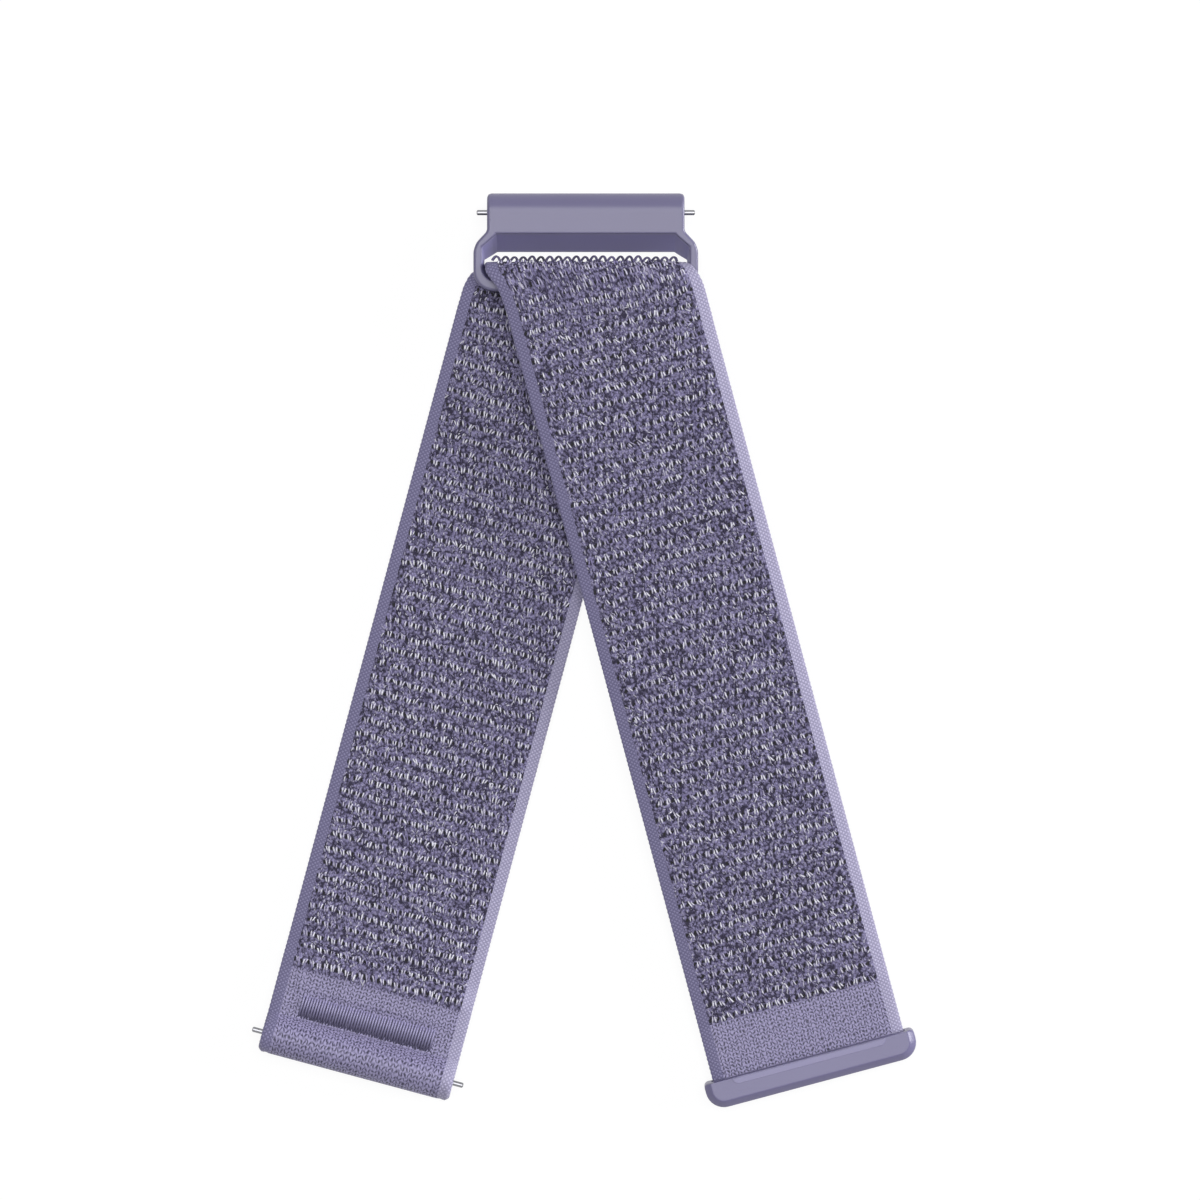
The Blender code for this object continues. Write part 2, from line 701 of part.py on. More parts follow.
def bartack(place):
    """Dense satin stitches that close the loop: a ridged bar above, one below, and the seam."""
    raised = 2 * PLY_THICKNESS + PLY_GAP
    top = raised - TACK_SINK - STRAP_MIDDLE
    tack = MAIN_LENGTH - TACK_FROM_END
    half_length, half_width = TACK_LENGTH / 2, TACK_WIDTH / 2
    ridge = TACK_LENGTH / TACK_RIDGES
    crest = top + TACK_THICKNESS
    outline = [(half_length, top), (-half_length, top)]
    for i in range(TACK_RIDGES):
        left = i * ridge - half_length
        outline.append((left, crest - TACK_RIDGE_HEIGHT))
        outline += [(left + ridge * share, crest) for share in TACK_CREST_SHARES]
    outline.append((half_length, crest - TACK_RIDGE_HEIGHT))
    shift = Matrix.Translation((0, -tack, 0)) @ END_VIEW
    tack_bar = flat_shape("bartack_stitching", outline, -half_width, half_width, shift)
    below = -STRAP_MIDDLE + TACK_CLEARANCE / 2
    across = half_length - TACK_WIDTH / 2
    seam_half = TACK_SEAM_WIDTH / 2
    seam = block(
        "tack seam thread",
        (-across, -tack - seam_half, below + TACK_THICKNESS / 2),
        (across, seam_half - tack, top + TACK_THICKNESS / 2),
    )
    underside = block(
        "tack lower bar",
        (-half_length, -tack - half_width, below),
        (half_length, half_width - tack, below + TACK_THICKNESS),
    )
    combine(tack_bar, seam, "UNION")
    combine(tack_bar, underside, "UNION")
    return finish(joined_to(tack_bar, place, "main_bend_2"), THREAD)


def flap_end(place, turn):
    """The flap's end: pile above up to the plain zone, and a bare underside for the hook patch."""
    start = FLAP_BENDS[1] + HALF_BEND + PIECE_GAP
    end = FLAP_LENGTH + CAP_SLOT_DEPTH - CAP_CLEARANCE
    ends = (FLAP_LENGTH - PLAIN_FLAP_LENGTH, start)
    body = stretch("webbing_flap_end", start, end, turn, pile_ends=ends)
    return finish(joined_to(body, place, "flap_bend_2"), NYLON)


def rounded_plate(half_width, top, bottom, upper_corner, lower_corner):
    """Outline of an upright plate between two heights, with its own corner radii above and below."""
    quarter = math.pi / 2
    upper = (half_width - upper_corner, top - upper_corner)
    lower = (half_width - lower_corner, bottom + lower_corner)
    right = arc(upper, upper_corner, quarter, 0, 4) + arc(lower, lower_corner, 0, -quarter, 7)
    return mirrored(right)


def hook_patch(place):
    """A patch of moulded hooks welded to the flap's underside, which grips the pile."""
    half = HALF_PILE - PATCH_MARGIN
    upper_edge = -FLAP_BENDS[1] - HALF_BEND - PATCH_START
    outline = rounded_plate(half, upper_edge, PATCH_MARGIN - FLAP_LENGTH, PATCH_CORNER, PATCH_CORNER)
    top = -PLY_THICKNESS / 2 - PATCH_CLEARANCE
    patch = flat_shape("hook_patch", outline, top - PATCH_THICKNESS, top)
    return finish(hang(patch, place, "flap_bend_2"), HOOKS)


def end_cap(place):
    """The moulded cap that closes the flap's end, with a shallow relief under its upper edge."""
    half = CAP_LENGTH / 2
    outline = rounded_plate(half, -FLAP_LENGTH, -CAP_END, CAP_UPPER_CORNER, CAP_LOWER_CORNER)
    thick = CAP_THICKNESS / 2
    cap = soften(flat_shape("end_cap", outline, -thick, thick), CAP_EDGE, 2)
    across = HALF_STRAP + CAP_CLEARANCE
    slot_half = PLY_THICKNESS / 2 + CAP_CLEARANCE
    slot = block(
        "cap slot",
        (-across, -FLAP_LENGTH - CAP_SLOT_DEPTH, -slot_half),
        (across, OVERRUN - FLAP_LENGTH, slot_half),
    )
    relief_half = CAP_RELIEF_LENGTH / 2
    relief = block(
        "cap relief",
        (-relief_half, -FLAP_LENGTH - CAP_RELIEF_HEIGHT, thick - CAP_RELIEF_DEPTH),
        (relief_half, OVERRUN - FLAP_LENGTH, thick + OVERRUN),
    )
    combine(cap, slot, "DIFFERENCE")
    combine(cap, relief, "DIFFERENCE")
    return finish(joined_to(cap, place, "flap_bend_2"), PLASTIC)


def flap_slope():
    """How far the flap tips down so that the cap's lowest corner lies on the floor."""
    half = CAP_LENGTH / 2 - CAP_LOWER_CORNER
    low = CAP_END - CAP_LOWER_CORNER
    reach = half * math.sin(LEG_TILT) + low * math.cos(LEG_TILT) + CAP_LOWER_CORNER - CAP_EDGE
    lift = FLAP_LIFT - CAP_THICKNESS / 2
    return math.asin(BAR_HEIGHT / math.hypot(reach, lift)) + math.atan2(lift, reach)


def centre_on_origin():
    """Moves the whole strap so that the origin is under the middle of its box, on the floor."""
    bpy.context.view_layer.update()
    graph = bpy.context.evaluated_depsgraph_get()
    points = []
    for obj in strap.objects:
        if obj.type == "EMPTY":
            continue
        shown = obj.evaluated_get(graph)
        mesh = shown.to_mesh()
        points += [shown.matrix_world @ vertex.co for vertex in mesh.vertices]
        shown.to_mesh_clear()
    low = np.min(points, axis=0)
    high = np.max(points, axis=0)
    middle = (low + high) / 2
    root = pivots["strap_root"][0]
    root.location = (-middle[0], -middle[1], -low[2])
    bpy.context.view_layer.update()
    for name, (empty, _) in pivots.items():
        at = ", ".join(f"{value:.6f}" for value in empty.matrix_world.translation)
        across = ", ".join(f"{value:.6f}" for value in empty.matrix_world.col[0][:3])
        print(f"{name}: at ({at}), its X along ({across})")


def build():
    slope = flap_slope()
    bar = Matrix.Translation((0, 0, BAR_HEIGHT))
    main_turn, flap_turn = -LEG_TILT, LEG_TILT
    main_leg = Matrix.Translation((-MAIN_OFFSET, 0, STRAP_MIDDLE)) @ Matrix.Rotation(main_turn, 4, "Z")
    flap_plane = bar @ Matrix.Rotation(slope, 4, "X")
    flap_shift = Matrix.Translation((FLAP_OFFSET, 0, FLAP_LIFT))
    flap_leg = flap_plane @ flap_shift @ Matrix.Rotation(flap_turn, 4, "Z")

    new_pivot("strap_root", Matrix())
    new_pivot("ring_pivot", bar, "strap_root")
    new_pivot("flap_pivot", flap_plane, "strap_root")
    for leg, bends, place, carrier in (
        ("main", MAIN_BENDS, main_leg, "strap_root"),
        ("flap", FLAP_BENDS, flap_leg, "flap_pivot"),
    ):
        for number, along in enumerate(bends, 1):
            name = f"{leg}_bend_{number}"
            new_pivot(name, place @ Matrix.Translation((0, -along, 0)), carrier)
            carrier = name
    bore_height = -BAR_HEIGHT + BODY_DEPTH / 2
    ring_seat = bar @ Matrix.Translation((0, BORE_PLACE, bore_height))
    strap_seat = main_leg @ Matrix.Translation((0, -LOOP_PLACE, LOOP_RADIUS - STRAP_MIDDLE))
    new_pivot("ring_bar_seat", ring_seat, "ring_pivot")
    new_pivot("strap_bar_seat", strap_seat, "main_bend_2")

    ring_frame(bar)
    spring_bar("ring", ring_seat, "ring_bar_seat", BODY_DEPTH / 2)
    spring_bar("strap", strap_seat, "strap_bar_seat", LOOP_RADIUS)

    for leg, (near, far), place, turn, first, root in (
        ("main", MAIN_BENDS, main_leg, main_turn, 0, "strap_root"),
        ("flap", FLAP_BENDS, flap_leg, flap_turn, FOLD_RUN_OUT, "flap_pivot"),
    ):
        pieces = (
            ("upper", first, near - HALF_BEND - PIECE_GAP, False, root),
            ("bend_1", near - HALF_BEND, near + HALF_BEND, True, root),
            ("middle", near + HALF_BEND + PIECE_GAP, far - HALF_BEND - PIECE_GAP, True, f"{leg}_bend_1"),
            ("bend_2", far - HALF_BEND, far + HALF_BEND, True, f"{leg}_bend_1"),
        )
        for part, start, end, square, carrier in pieces:
            piece = stretch(f"webbing_{leg}_{part}", start, end, turn, square)
            finish(joined_to(piece, place, carrier), NYLON)
    webbing_fold(slope)
    main_end(main_leg)
    bartack(main_leg)
    flap_end(flap_leg, flap_turn)
    hook_patch(flap_leg)
    end_cap(flap_leg)
    centre_on_origin()


clear_scene()
strap = new_collection("nylon_watch_strap")
helpers = new_collection("nylon_watch_strap cutters")
build()
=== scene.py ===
"""Woven nylon watch strap with a moulded ring and end cap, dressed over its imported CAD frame."""

import bpy
import numpy as np
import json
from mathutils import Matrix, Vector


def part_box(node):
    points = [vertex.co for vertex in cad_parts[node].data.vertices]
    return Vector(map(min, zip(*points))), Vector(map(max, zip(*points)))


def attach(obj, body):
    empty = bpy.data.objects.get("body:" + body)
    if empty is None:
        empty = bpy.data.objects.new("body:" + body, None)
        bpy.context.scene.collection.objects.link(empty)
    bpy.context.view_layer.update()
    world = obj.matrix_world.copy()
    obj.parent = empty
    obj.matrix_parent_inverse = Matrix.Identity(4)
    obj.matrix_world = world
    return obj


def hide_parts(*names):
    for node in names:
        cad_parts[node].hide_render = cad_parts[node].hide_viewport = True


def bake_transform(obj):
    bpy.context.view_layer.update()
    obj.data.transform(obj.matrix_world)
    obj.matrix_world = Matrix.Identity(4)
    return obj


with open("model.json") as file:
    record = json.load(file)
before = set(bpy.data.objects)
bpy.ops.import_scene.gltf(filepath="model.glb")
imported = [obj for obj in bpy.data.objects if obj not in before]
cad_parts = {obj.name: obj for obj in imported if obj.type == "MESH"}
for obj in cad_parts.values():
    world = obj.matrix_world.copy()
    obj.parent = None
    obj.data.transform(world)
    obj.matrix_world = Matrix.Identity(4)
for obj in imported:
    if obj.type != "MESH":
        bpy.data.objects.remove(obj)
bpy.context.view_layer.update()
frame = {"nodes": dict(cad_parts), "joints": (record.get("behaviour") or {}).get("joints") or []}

# Ring. One injection moulding in satin nylon: a thick rolled body that is bored for the spring
# bar, and a thin loop under it for the webbing. Its window's upper wall slopes back, and every
# edge has the small radius of the tool.
MM = 0.001
joints = {joint["name"]: joint for joint in frame["joints"]}
bar = np.array(joints["ring_swing"]["pos_m"])
ring_low, ring_high = (np.array(corner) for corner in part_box("ring_frame"))

RING_HALF = (ring_high[0] - ring_low[0]) / 2
RING_TOP = ring_high[1] - bar[1]
RING_FRONT = ring_high[2]
LOOP_BACK = bar[2] * 2 - RING_FRONT
BAR_HALF = bar[1] - ring_low[1]
BODY_HALF = 10.75 * MM
BODY_CORNER = 0.32 * MM
ROLL = 2.1 * MM
SHOULDERS = ((10.75 * MM, 5.97 * MM), (11.9 * MM, 4.74 * MM), (RING_HALF, 3.85 * MM))
LOOP_CORNER = 2.2 * MM
WINDOW_HALF = 11.3 * MM
WINDOW_TOP_HALF = 9.68 * MM
WINDOW_CORNER = 1.6 * MM
WINDOW_TOP = 5.64 * MM
WINDOW_SHOULDER = 4.24 * MM
WINDOW_BACK_TOP = 3.86 * MM
WINDOW_BACK_SHOULDER = 2.93 * MM
WINDOW_DRAFT = 0.26 * MM
GUSSET = (2.6 * MM, 3.6 * MM)
TOOL_RADIUS = 0.34 * MM
WINDOW_RADIUS = 0.24 * MM
BORE_RADIUS = 0.87 * MM
BORE_REACH = 15 * MM
LEVER_SLOT = (5.72 * MM, 8.08 * MM, 0.58 * MM)
SLOT_REACH = 5 * MM
COLUMNS = 34
WALL_STEPS = 7
SHARP = np.radians(35)
FLOW_WIDTH = 7.143 * MM
SPARK_GRAIN = 0.1923 * MM
FLOW_SHADE = 0.965
COLOURS = {"data_type": "RGBA"}  # what a Mix node blends, from its input 6 to its input 7


def linear(code, shade=1.0):
    """A hex colour, as it is seen on a screen, times a shade, in the linear values of shaders."""
    seen = shade * np.array([int(code[i:i + 2], 16) for i in (1, 3, 5)]) / 255
    low = seen / 12.92
    high = ((seen + 0.055) / 1.055) ** 2.4
    return (*np.where(seen <= 0.04045, low, high), 1.0)


def feed(tree, value, socket):
    """Gives a socket a number or a hex colour, or links an output or a node's first live output."""
    if isinstance(value, bpy.types.Node):
        value = next(output for output in value.outputs if output.enabled)
    if isinstance(value, bpy.types.NodeSocket):
        tree.links.new(value, socket)
    else:
        socket.default_value = linear(value) if isinstance(value, str) else value


def add_node(tree, kind, settings=(), **inputs):
    """Adds one node. Settings are its own properties, or its operation alone. Each input is fed what
    it is given, and i0, i1 and so on are inputs by place."""
    node = tree.nodes.new("ShaderNode" + kind)
    for name, value in dict({"operation": settings} if isinstance(settings, str) else settings).items():
        setattr(node, name, value)
    for name, value in inputs.items():
        feed(tree, value, node.inputs[int(name[1:]) if name[0] == "i" else name])
    return node


def new_material(name, roughness, **shine):
    """A Principled material whose even values sit on its own sockets."""
    material = bpy.data.materials.new(name)
    material.use_nodes = True
    tree = material.node_tree
    shader = tree.nodes["Principled BSDF"]
    shader.inputs["Roughness"].default_value = roughness
    for socket, value in shine.items():
        shader.inputs[socket.replace("_", " ")].default_value = value
    return material, tree


def paint(material, colour, height=None, strength=0.0, depth=0.0):
    """Gives a material its colour and, from a height, its relief."""
    tree = material.node_tree
    shader = tree.nodes["Principled BSDF"]
    feed(tree, colour, shader.inputs["Base Color"])
    if height is not None:
        bump = add_node(tree, "Bump", Height=height, Strength=strength, Distance=depth)
        feed(tree, bump, shader.inputs["Normal"])
    return material


def new_piece(name, points, faces, materials, slots=None):
    """A mesh object at the origin, its place in its mesh, shaded smooth up to its sharp edges."""
    mesh = bpy.data.meshes.new(name)
    mesh.from_pydata(points.reshape(-1, 3), [], faces)
    for material in materials:
        mesh.materials.append(material)
    if slots is not None:
        mesh.polygons.foreach_set("material_index", slots)
    mesh.shade_smooth()
    mesh.set_sharp_from_angle(angle=SHARP)
    piece = bpy.data.objects.new(name, mesh)
    bpy.context.scene.collection.objects.link(piece)
    return piece


def ring_quads(rows, columns, joined=False):
    """Quads between neighbouring points of rings that are stored one after the other. joined closes
    the last ring on to the first."""
    row = np.arange(rows if joined else rows - 1)[:, None]
    column = np.arange(columns)[None, :]
    next_row, next_column = (row + 1) % rows, (column + 1) % columns
    corners = (row * columns + column, row * columns + next_column,
               next_row * columns + next_column, next_row * columns + column)
    return np.stack(np.broadcast_arrays(*corners), -1).reshape(-1, 4)


def tube_faces(rows, columns):
    """The quads of a tube of rings, and one flat face across each of its ends."""
    ends = [tuple(range(columns))[::-1], tuple(range((rows - 1) * columns, rows * columns))]
    return [tuple(face) for face in ring_quads(rows, columns)] + ends


def line(start, end, count):
    """Points from start up to end, without the end."""
    share = np.arange(count)[:, None] / count
    return np.array(start) * (1 - share) + np.array(end) * share


def arc(centre, radius, first, last, count):
    """Points along an arc in degrees, without its end."""
    angle = np.radians(np.linspace(first, last, count + 1)[:-1])
    return np.array(centre) + radius * np.stack([np.cos(angle), np.sin(angle)], 1)


def mirrored(half):
    """A closed outline from its right half, whose first and last points lie on the middle line."""
    return np.concatenate([half, (half * (-1, 1))[-2:0:-1]])


def rounded(outline, reach):
    """A closed outline whose corners are rounded by a moving mean over its neighbours."""
    return sum(np.roll(outline, shift, 0) for shift in range(-reach, reach + 1)) / (2 * reach + 1)


# How many points each part of an outline has, so that the ring's and its window's face each other
PART_POINTS = (60, 4, 26, 12, 8, 14, 18, 60)


def looped(places, corner):
    """A closed outline: lines through the places of its right half, a round corner after the last,
    a flat foot, and the same mirrored."""
    half, level = places[-1]
    parts = [line(a, b, n) for a, b, n in zip(places, places[1:], PART_POINTS)]
    parts.append(arc((half - corner, level), corner, 0, -90, PART_POINTS[6]))
    parts.append(line((half - corner, level - corner), (0, level - corner), PART_POINTS[7]))
    return mirrored(np.concatenate([*parts, [(0, level - corner)]]))


def window_outline(half, upper, shoulder):
    """The window's outline at one depth. The shares are of its upper edge, which faces the ring's
    upper corner with its outer part."""
    spots = [(WINDOW_TOP_HALF * share, upper) for share in (0, 0.93, 0.9579, 1)]
    spots += [((WINDOW_TOP_HALF + half) / 2, (upper + shoulder) / 2), (half, shoulder)]
    return rounded(looped([*spots, (half, BAR_HALF + WINDOW_CORNER)], WINDOW_CORNER), 1)


def ring_surface():
    """The ring as a section carried round its window.

    The section runs from the window's front edge out to the outline, down the outer wall, back in
    to the window's rear edge and up the window's wall. Front and back close in over the roll at
    the top, the back rises to the loop over the gusset, and both are eased into the outer wall and
    into the window's by a quarter of a circle.
    """
    top = [(0, RING_TOP), (BODY_HALF - BODY_CORNER, RING_TOP), (BODY_HALF, RING_TOP - BODY_CORNER)]
    outer = rounded(looped([*top, *SHOULDERS, (RING_HALF, LOOP_CORNER - BAR_HALF)], LOOP_CORNER), 2)
    front = window_outline(WINDOW_HALF, WINDOW_TOP, WINDOW_SHOULDER)
    back = window_outline(WINDOW_HALF - WINDOW_DRAFT, WINDOW_BACK_TOP, WINDOW_BACK_SHOULDER)
    share = (1 - np.cos(np.linspace(0, np.pi, COLUMNS))) / 2
    on_top = np.clip((outer[:, 1] - RING_TOP + BODY_CORNER) / BODY_CORNER, 0, 1)

    def fall(plan, edge, radius):
        """How far a quarter circle has fallen away, by the distance of each point from an edge."""
        ahead = np.roll(edge, -1, 0) - np.roll(edge, 1, 0)
        normal = np.stack([-ahead[:, 1], ahead[:, 0]], 1)
        normal /= np.linalg.norm(normal, axis=1)[:, None]
        gap = np.abs(((edge[:, None] - plan) * normal[:, None]).sum(2))
        return radius - np.sqrt(np.maximum(radius ** 2 - np.maximum(radius - gap, 0) ** 2, 0))

    def spread(inner):
        """Points from a window edge out to the outline, and how far the roll and both edges ease them."""
        plan = inner[:, None] + (outer - inner)[:, None] * share[None, :, None]
        over = np.maximum(plan[..., 1] - (RING_TOP - ROLL), 0)
        roll = ROLL - np.sqrt(np.maximum(ROLL ** 2 - over ** 2, 0))
        outer_ease = fall(plan, outer, (TOOL_RADIUS * (1 - on_top))[:, None])
        return plan, roll + outer_ease + fall(plan, inner, WINDOW_RADIUS)

    plan, ease = spread(front)
    front_rows = np.concatenate([plan, (RING_FRONT - ease)[..., None]], 2)
    plan, ease = spread(back)
    climb = np.clip((GUSSET[1] - plan[..., 1]) / (GUSSET[1] - GUSSET[0]), 0, 1)
    bottom = ring_low[2] + climb * (LOOP_BACK - ring_low[2]) + ease
    back_rows = np.concatenate([plan, bottom[..., None]], 2)[:, ::-1]
    step = np.linspace(0, 1, WALL_STEPS + 1)[None, 1:-1, None]
    wall = front_rows[:, -1:] * (1 - step) + back_rows[:, :1] * step
    window_wall = back_rows[:, -1:] * (1 - step) + front_rows[:, :1] * step
    surface = np.concatenate([front_rows, wall, back_rows, window_wall], 1)
    return surface + (bar[0], bar[1], 0), ring_quads(*surface.shape[:2], True)[:, ::-1]


def satin_plastic(name, code, grain, roughness=0.33, **shine):
    """Moulded satin plastic: one even colour, with the faint flow and the fine spark-eroded
    texture of the tool, which breaks up highlights but is hardly seen from a step away."""
    material, tree = new_material(name, roughness, IOR=1.52, **shine)
    place = add_node(tree, "TexCoord").outputs["Object"]
    flow = add_node(tree, "TexNoise", Vector=place, Scale=1 / FLOW_WIDTH, Detail=2.0)
    pores = add_node(tree, "TexNoise", Vector=place, Scale=1 / SPARK_GRAIN, Detail=1.0)
    colour = add_node(tree, "Mix", COLOURS, i0=flow, i6=linear(code, FLOW_SHADE), i7=code)
    return paint(material, colour, pores, grain, 0.02 * MM)


def cut_away(piece, cutter):
    """Cuts a closed shape out of a piece for good."""
    modifier = piece.modifiers.new("cut", "BOOLEAN")
    modifier.operation, modifier.solver, modifier.object = "DIFFERENCE", "EXACT", cutter
    bpy.context.view_layer.update()
    shown = piece.evaluated_get(bpy.context.evaluated_depsgraph_get())
    mesh = bpy.data.meshes.new_from_object(shown)
    piece.modifiers.clear()
    piece.data = mesh
    mesh.set_sharp_from_angle(angle=SHARP)
    bpy.data.objects.remove(cutter)


def turned(profile, sides=32):
    """A profile of (place along X, radius) turned about X and closed by a flat face at each end."""
    place, radius = np.array(profile, float).T
    angle = np.linspace(0, 2 * np.pi, sides, endpoint=False)
    x = np.broadcast_to(place[:, None], (len(place), sides))
    rings = np.stack([x, radius[:, None] * np.cos(angle), radius[:, None] * np.sin(angle)], -1)
    return rings, tube_faces(len(place), sides)


ring_plastic = satin_plastic("Injection-moulded satin nylon", "#6b6788", 0.25)
# Painted light: the window's walls, which lie in shade, get a lighter colour than the rest of the ring, as
# well as a matt finish
window_wall_plastic_painted_light = satin_plastic("Injection-moulded satin nylon, left matt by the window's core",
                             "#8f8ab8", 0.6, 0.5, Specular_IOR_Level=0.2)
points, faces = ring_surface()
columns = points.shape[1]
on_window = np.arange(len(faces)) % columns >= columns - WALL_STEPS
ring = new_piece("ring_moulded", points, faces, [ring_plastic, window_wall_plastic_painted_light], on_window.astype(np.int32))
seat = np.array(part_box("ring_bar_barrel")).mean(0)
bore, bore_faces = turned([(-BORE_REACH, BORE_RADIUS), (BORE_REACH, BORE_RADIUS)])
cut_away(ring, new_piece("cutter", bore + seat, bore_faces, []))
near, far, half = LEVER_SLOT
slot_corners = np.array([(x, y, z) for x in (near, far) for y in (-half, half) for z in (-SLOT_REACH, 0)])
box_faces = [(0, 1, 3, 2), (4, 6, 7, 5), (0, 4, 5, 1), (2, 3, 7, 6), (0, 2, 6, 4), (1, 5, 7, 3)]
cut_away(ring, new_piece("cutter", slot_corners + seat, box_faces, []))
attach(ring, "ring")
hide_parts("ring_frame")

# Spring bars. Quick-release bars in stainless steel: a drawn barrel, a turned tip at each end on a
# coil spring, and a small riveted lever that draws one tip in. One lies in the ring's bore and one
# in the webbing's sewn loop. Turning leaves fine rings round a bright polished surface.
TIP_RADIUS = 0.29 * MM
TIP_CHAMFER = 0.1 * MM
TIP_NECK = 10.0 * MM
TIP_OUT = 1.4 * MM
BARREL_RADIUS = 0.75 * MM
BARREL_HALF = 10.5 * MM
CRIMP = 0.12 * MM
WAVE_UNIT = 0.314  # how far apart the bands of a wave texture lie at a scale of 1


def turned_steel(name, roughness, spacing):
    """Polished stainless steel with the fine rings that turning leaves, drawn just wide enough to show."""
    material, tree = new_material(name, roughness, Metallic=1.0)
    place = add_node(tree, "TexCoord").outputs["Object"]
    rings = add_node(tree, "TexWave", {"bands_direction": "X"}, Vector=place, Scale=WAVE_UNIT / spacing,
                     Distortion=0.4, Detail=1.0).outputs["Fac"]
    return paint(material, add_node(tree, "Mix", COLOURS, i0=rings, i6="#7b7b80", i7="#929296"))


bar_steel = turned_steel("Turned stainless steel", 0.16, 0.08 * MM)
wire_steel = turned_steel("Drawn spring wire", 0.3, 0.2 * MM)


def spring_bar(prefix, bodies, across):
    """New tips and barrel in place of a bar's solids. across is the bar's direction, left to right."""
    low, high = (np.array(corner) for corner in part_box(f"{prefix}_bar_barrel"))
    middle = (low + high) / 2
    turn = np.array([across, np.cross((0, 0, 1), across), (0, 0, 1)])
    reach = BARREL_HALF + TIP_OUT
    tip = [(TIP_NECK, TIP_RADIUS), (reach - TIP_CHAMFER, TIP_RADIUS), (reach, TIP_RADIUS - TIP_CHAMFER)]
    tube = [(-BARREL_HALF, BARREL_RADIUS - CRIMP), (CRIMP - BARREL_HALF, BARREL_RADIUS),
            (BARREL_HALF - CRIMP, BARREL_RADIUS), (BARREL_HALF, BARREL_RADIUS - CRIMP)]
    # A sign of -1 turns a tip half round, to point left
    parts = (("tip_left", "polished", tip, -1), ("tip_right", "polished", tip, 1),
             ("barrel", "drawn", tube, 1))
    for body, (part, finish, profile, sign) in zip(bodies, parts):
        rings, faces = turned(profile)
        rings = (rings * (sign, sign, 1)) @ turn + middle
        piece = new_piece(f"{prefix}_bar_{part}_{finish}", rings, faces, [bar_steel])
        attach(piece, body)
        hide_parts(f"{prefix}_bar_{part}")
    for node, material in ((f"{prefix}_bar_lever", bar_steel), (f"{prefix}_bar_spring", wire_steel)):
        frame["nodes"][node].data.materials.clear()
        frame["nodes"][node].data.materials.append(material)


spring_bar("ring", ("ring_tip_left", "ring_tip_right", "ring"), np.array((1.0, 0, 0)))
main_across = -np.array(joints["main_bend_1"]["axis"])
spring_bar("strap", ("strap_tip_left", "strap_tip_right", "main_end"), main_across)

# Webbing. One narrow fabric of textured nylon, woven with a loop pile on both faces between plain
# twill selvedges. The main leg lies behind the ring's lower bar, turns over it and comes back as
# the flap; the main leg's bare end goes round the spring bar and lies sewn under itself.
STRAP_HALF = 10.75 * MM
MAIN_LENGTH = 89.12 * MM
FLAP_LENGTH = 86.83 * MM
MAIN_OFFSET = -2.3 * MM
FLAP_OFFSET = 1.73 * MM
MAIN_PILE_END = MAIN_LENGTH - 10.04 * MM
FLAP_PILE_END = FLAP_LENGTH - 6.33 * MM
PATCH_PILE_END = 66.4 * MM
SPLIT = 50.0 * MM
END_START = 60.0 * MM
IN_CAP = 2.1 * MM
HALF_BEND = 4.0 * MM
LEG_REACH = 110 * MM
LEG_STEPS = 220
QUARTER_STEPS = 60
OVER_BAR = 15 * MM
SMALL_STEP = 0.02 * MM
FOLD_REACH = 2.1 * MM
FOLD_LIFT = 2.3 * MM
FOLD_PULL = 0.24
FOLD_END = 6.5 * MM
LOOP_RADIUS = 1.5 * MM
LOOP_CENTRE = MAIN_LENGTH - 2.1 * MM
LOOP_ARC = (112, -90)
NECK_PLACE = MAIN_LENGTH - 4.49 * MM
RAMP = (76.0 * MM, 79.1 * MM)
RAMP_RISE = 0.9 * MM
TAIL_PLACE = 79.4 * MM
TWILL_PITCH = 0.52 * MM
TWILL_LEAN = 0.9 * MM
TWILL_SWELL = 0.1
SCALLOP = 0.03 * MM
# Where the edges of the webbing leave their straight lines over the bar, by distance past the crest
EDGE_RUN = np.array((-5.0, -3.4, -2.1, -0.9, 0.0, 1.8, 2.9, 3.5, 5.0, 7.0)) * MM
LEFT_PLACES = np.array((-13.8, -13.36, -12.62, -11.02, -10.92, -10.92, -10.22, -9.67, -9.07, -8.4)) * MM
RIGHT_PLACES = np.array((8.45, 8.86, 9.8, 10.85, 11.0, 12.05, 12.65, 12.88, 13.28, 13.83)) * MM
# Half a section of the fabric from its edge inwards, as distance across and height over its middle:
# first where it carries pile, then where it is bare
EDGE_ACROSS = np.array((10.75, 10.74, 10.69, 10.58, 10.35, 10.1, 9.85, 9.65, 9.5, 9.3, 7.0, 4.0, 1.0)) * MM
PILE_GROUND = np.array((0, 0.1, 0.2, 0.28, 0.38, 0.48, 0.58, 0.67, 0.72, 0.74, 0.74, 0.74, 0.74)) * MM
BARE_GROUND = np.array((0, 0.1, 0.2, 0.27, 0.36, 0.44, 0.51, 0.56, 0.59, 0.6, 0.6, 0.6, 0.6)) * MM
SELVEDGE_INNER = 9.5 * MM
SELVEDGE_WIDTH = 1.3 * MM
BARE_EASE = 0.35 * MM
# Over the bar: how far from it the fabric is squeezed, and how high and over what width edges curl
NEAR_BAR = 2.2 * MM
EDGE_CURL = (0.3 * MM, 9.4 * MM, 1.2 * MM)
# Round the end: by how much, where across and how widely the edges are fuller, and from how far before it
EDGE_FILL = (0.57, 10.42 * MM, 0.35 * MM)
FILL_START = (2.5 * MM, 1.5 * MM)

flap_across = -np.array(joints["flap_bend_1"]["axis"])
tilt = np.arccos(main_across[0])
flap_slope = np.arcsin(flap_across[2] / np.sin(tilt))
strap_level = bar[2] - FOLD_LIFT
strap_seat = np.array(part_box("strap_bar_barrel")).mean(0)


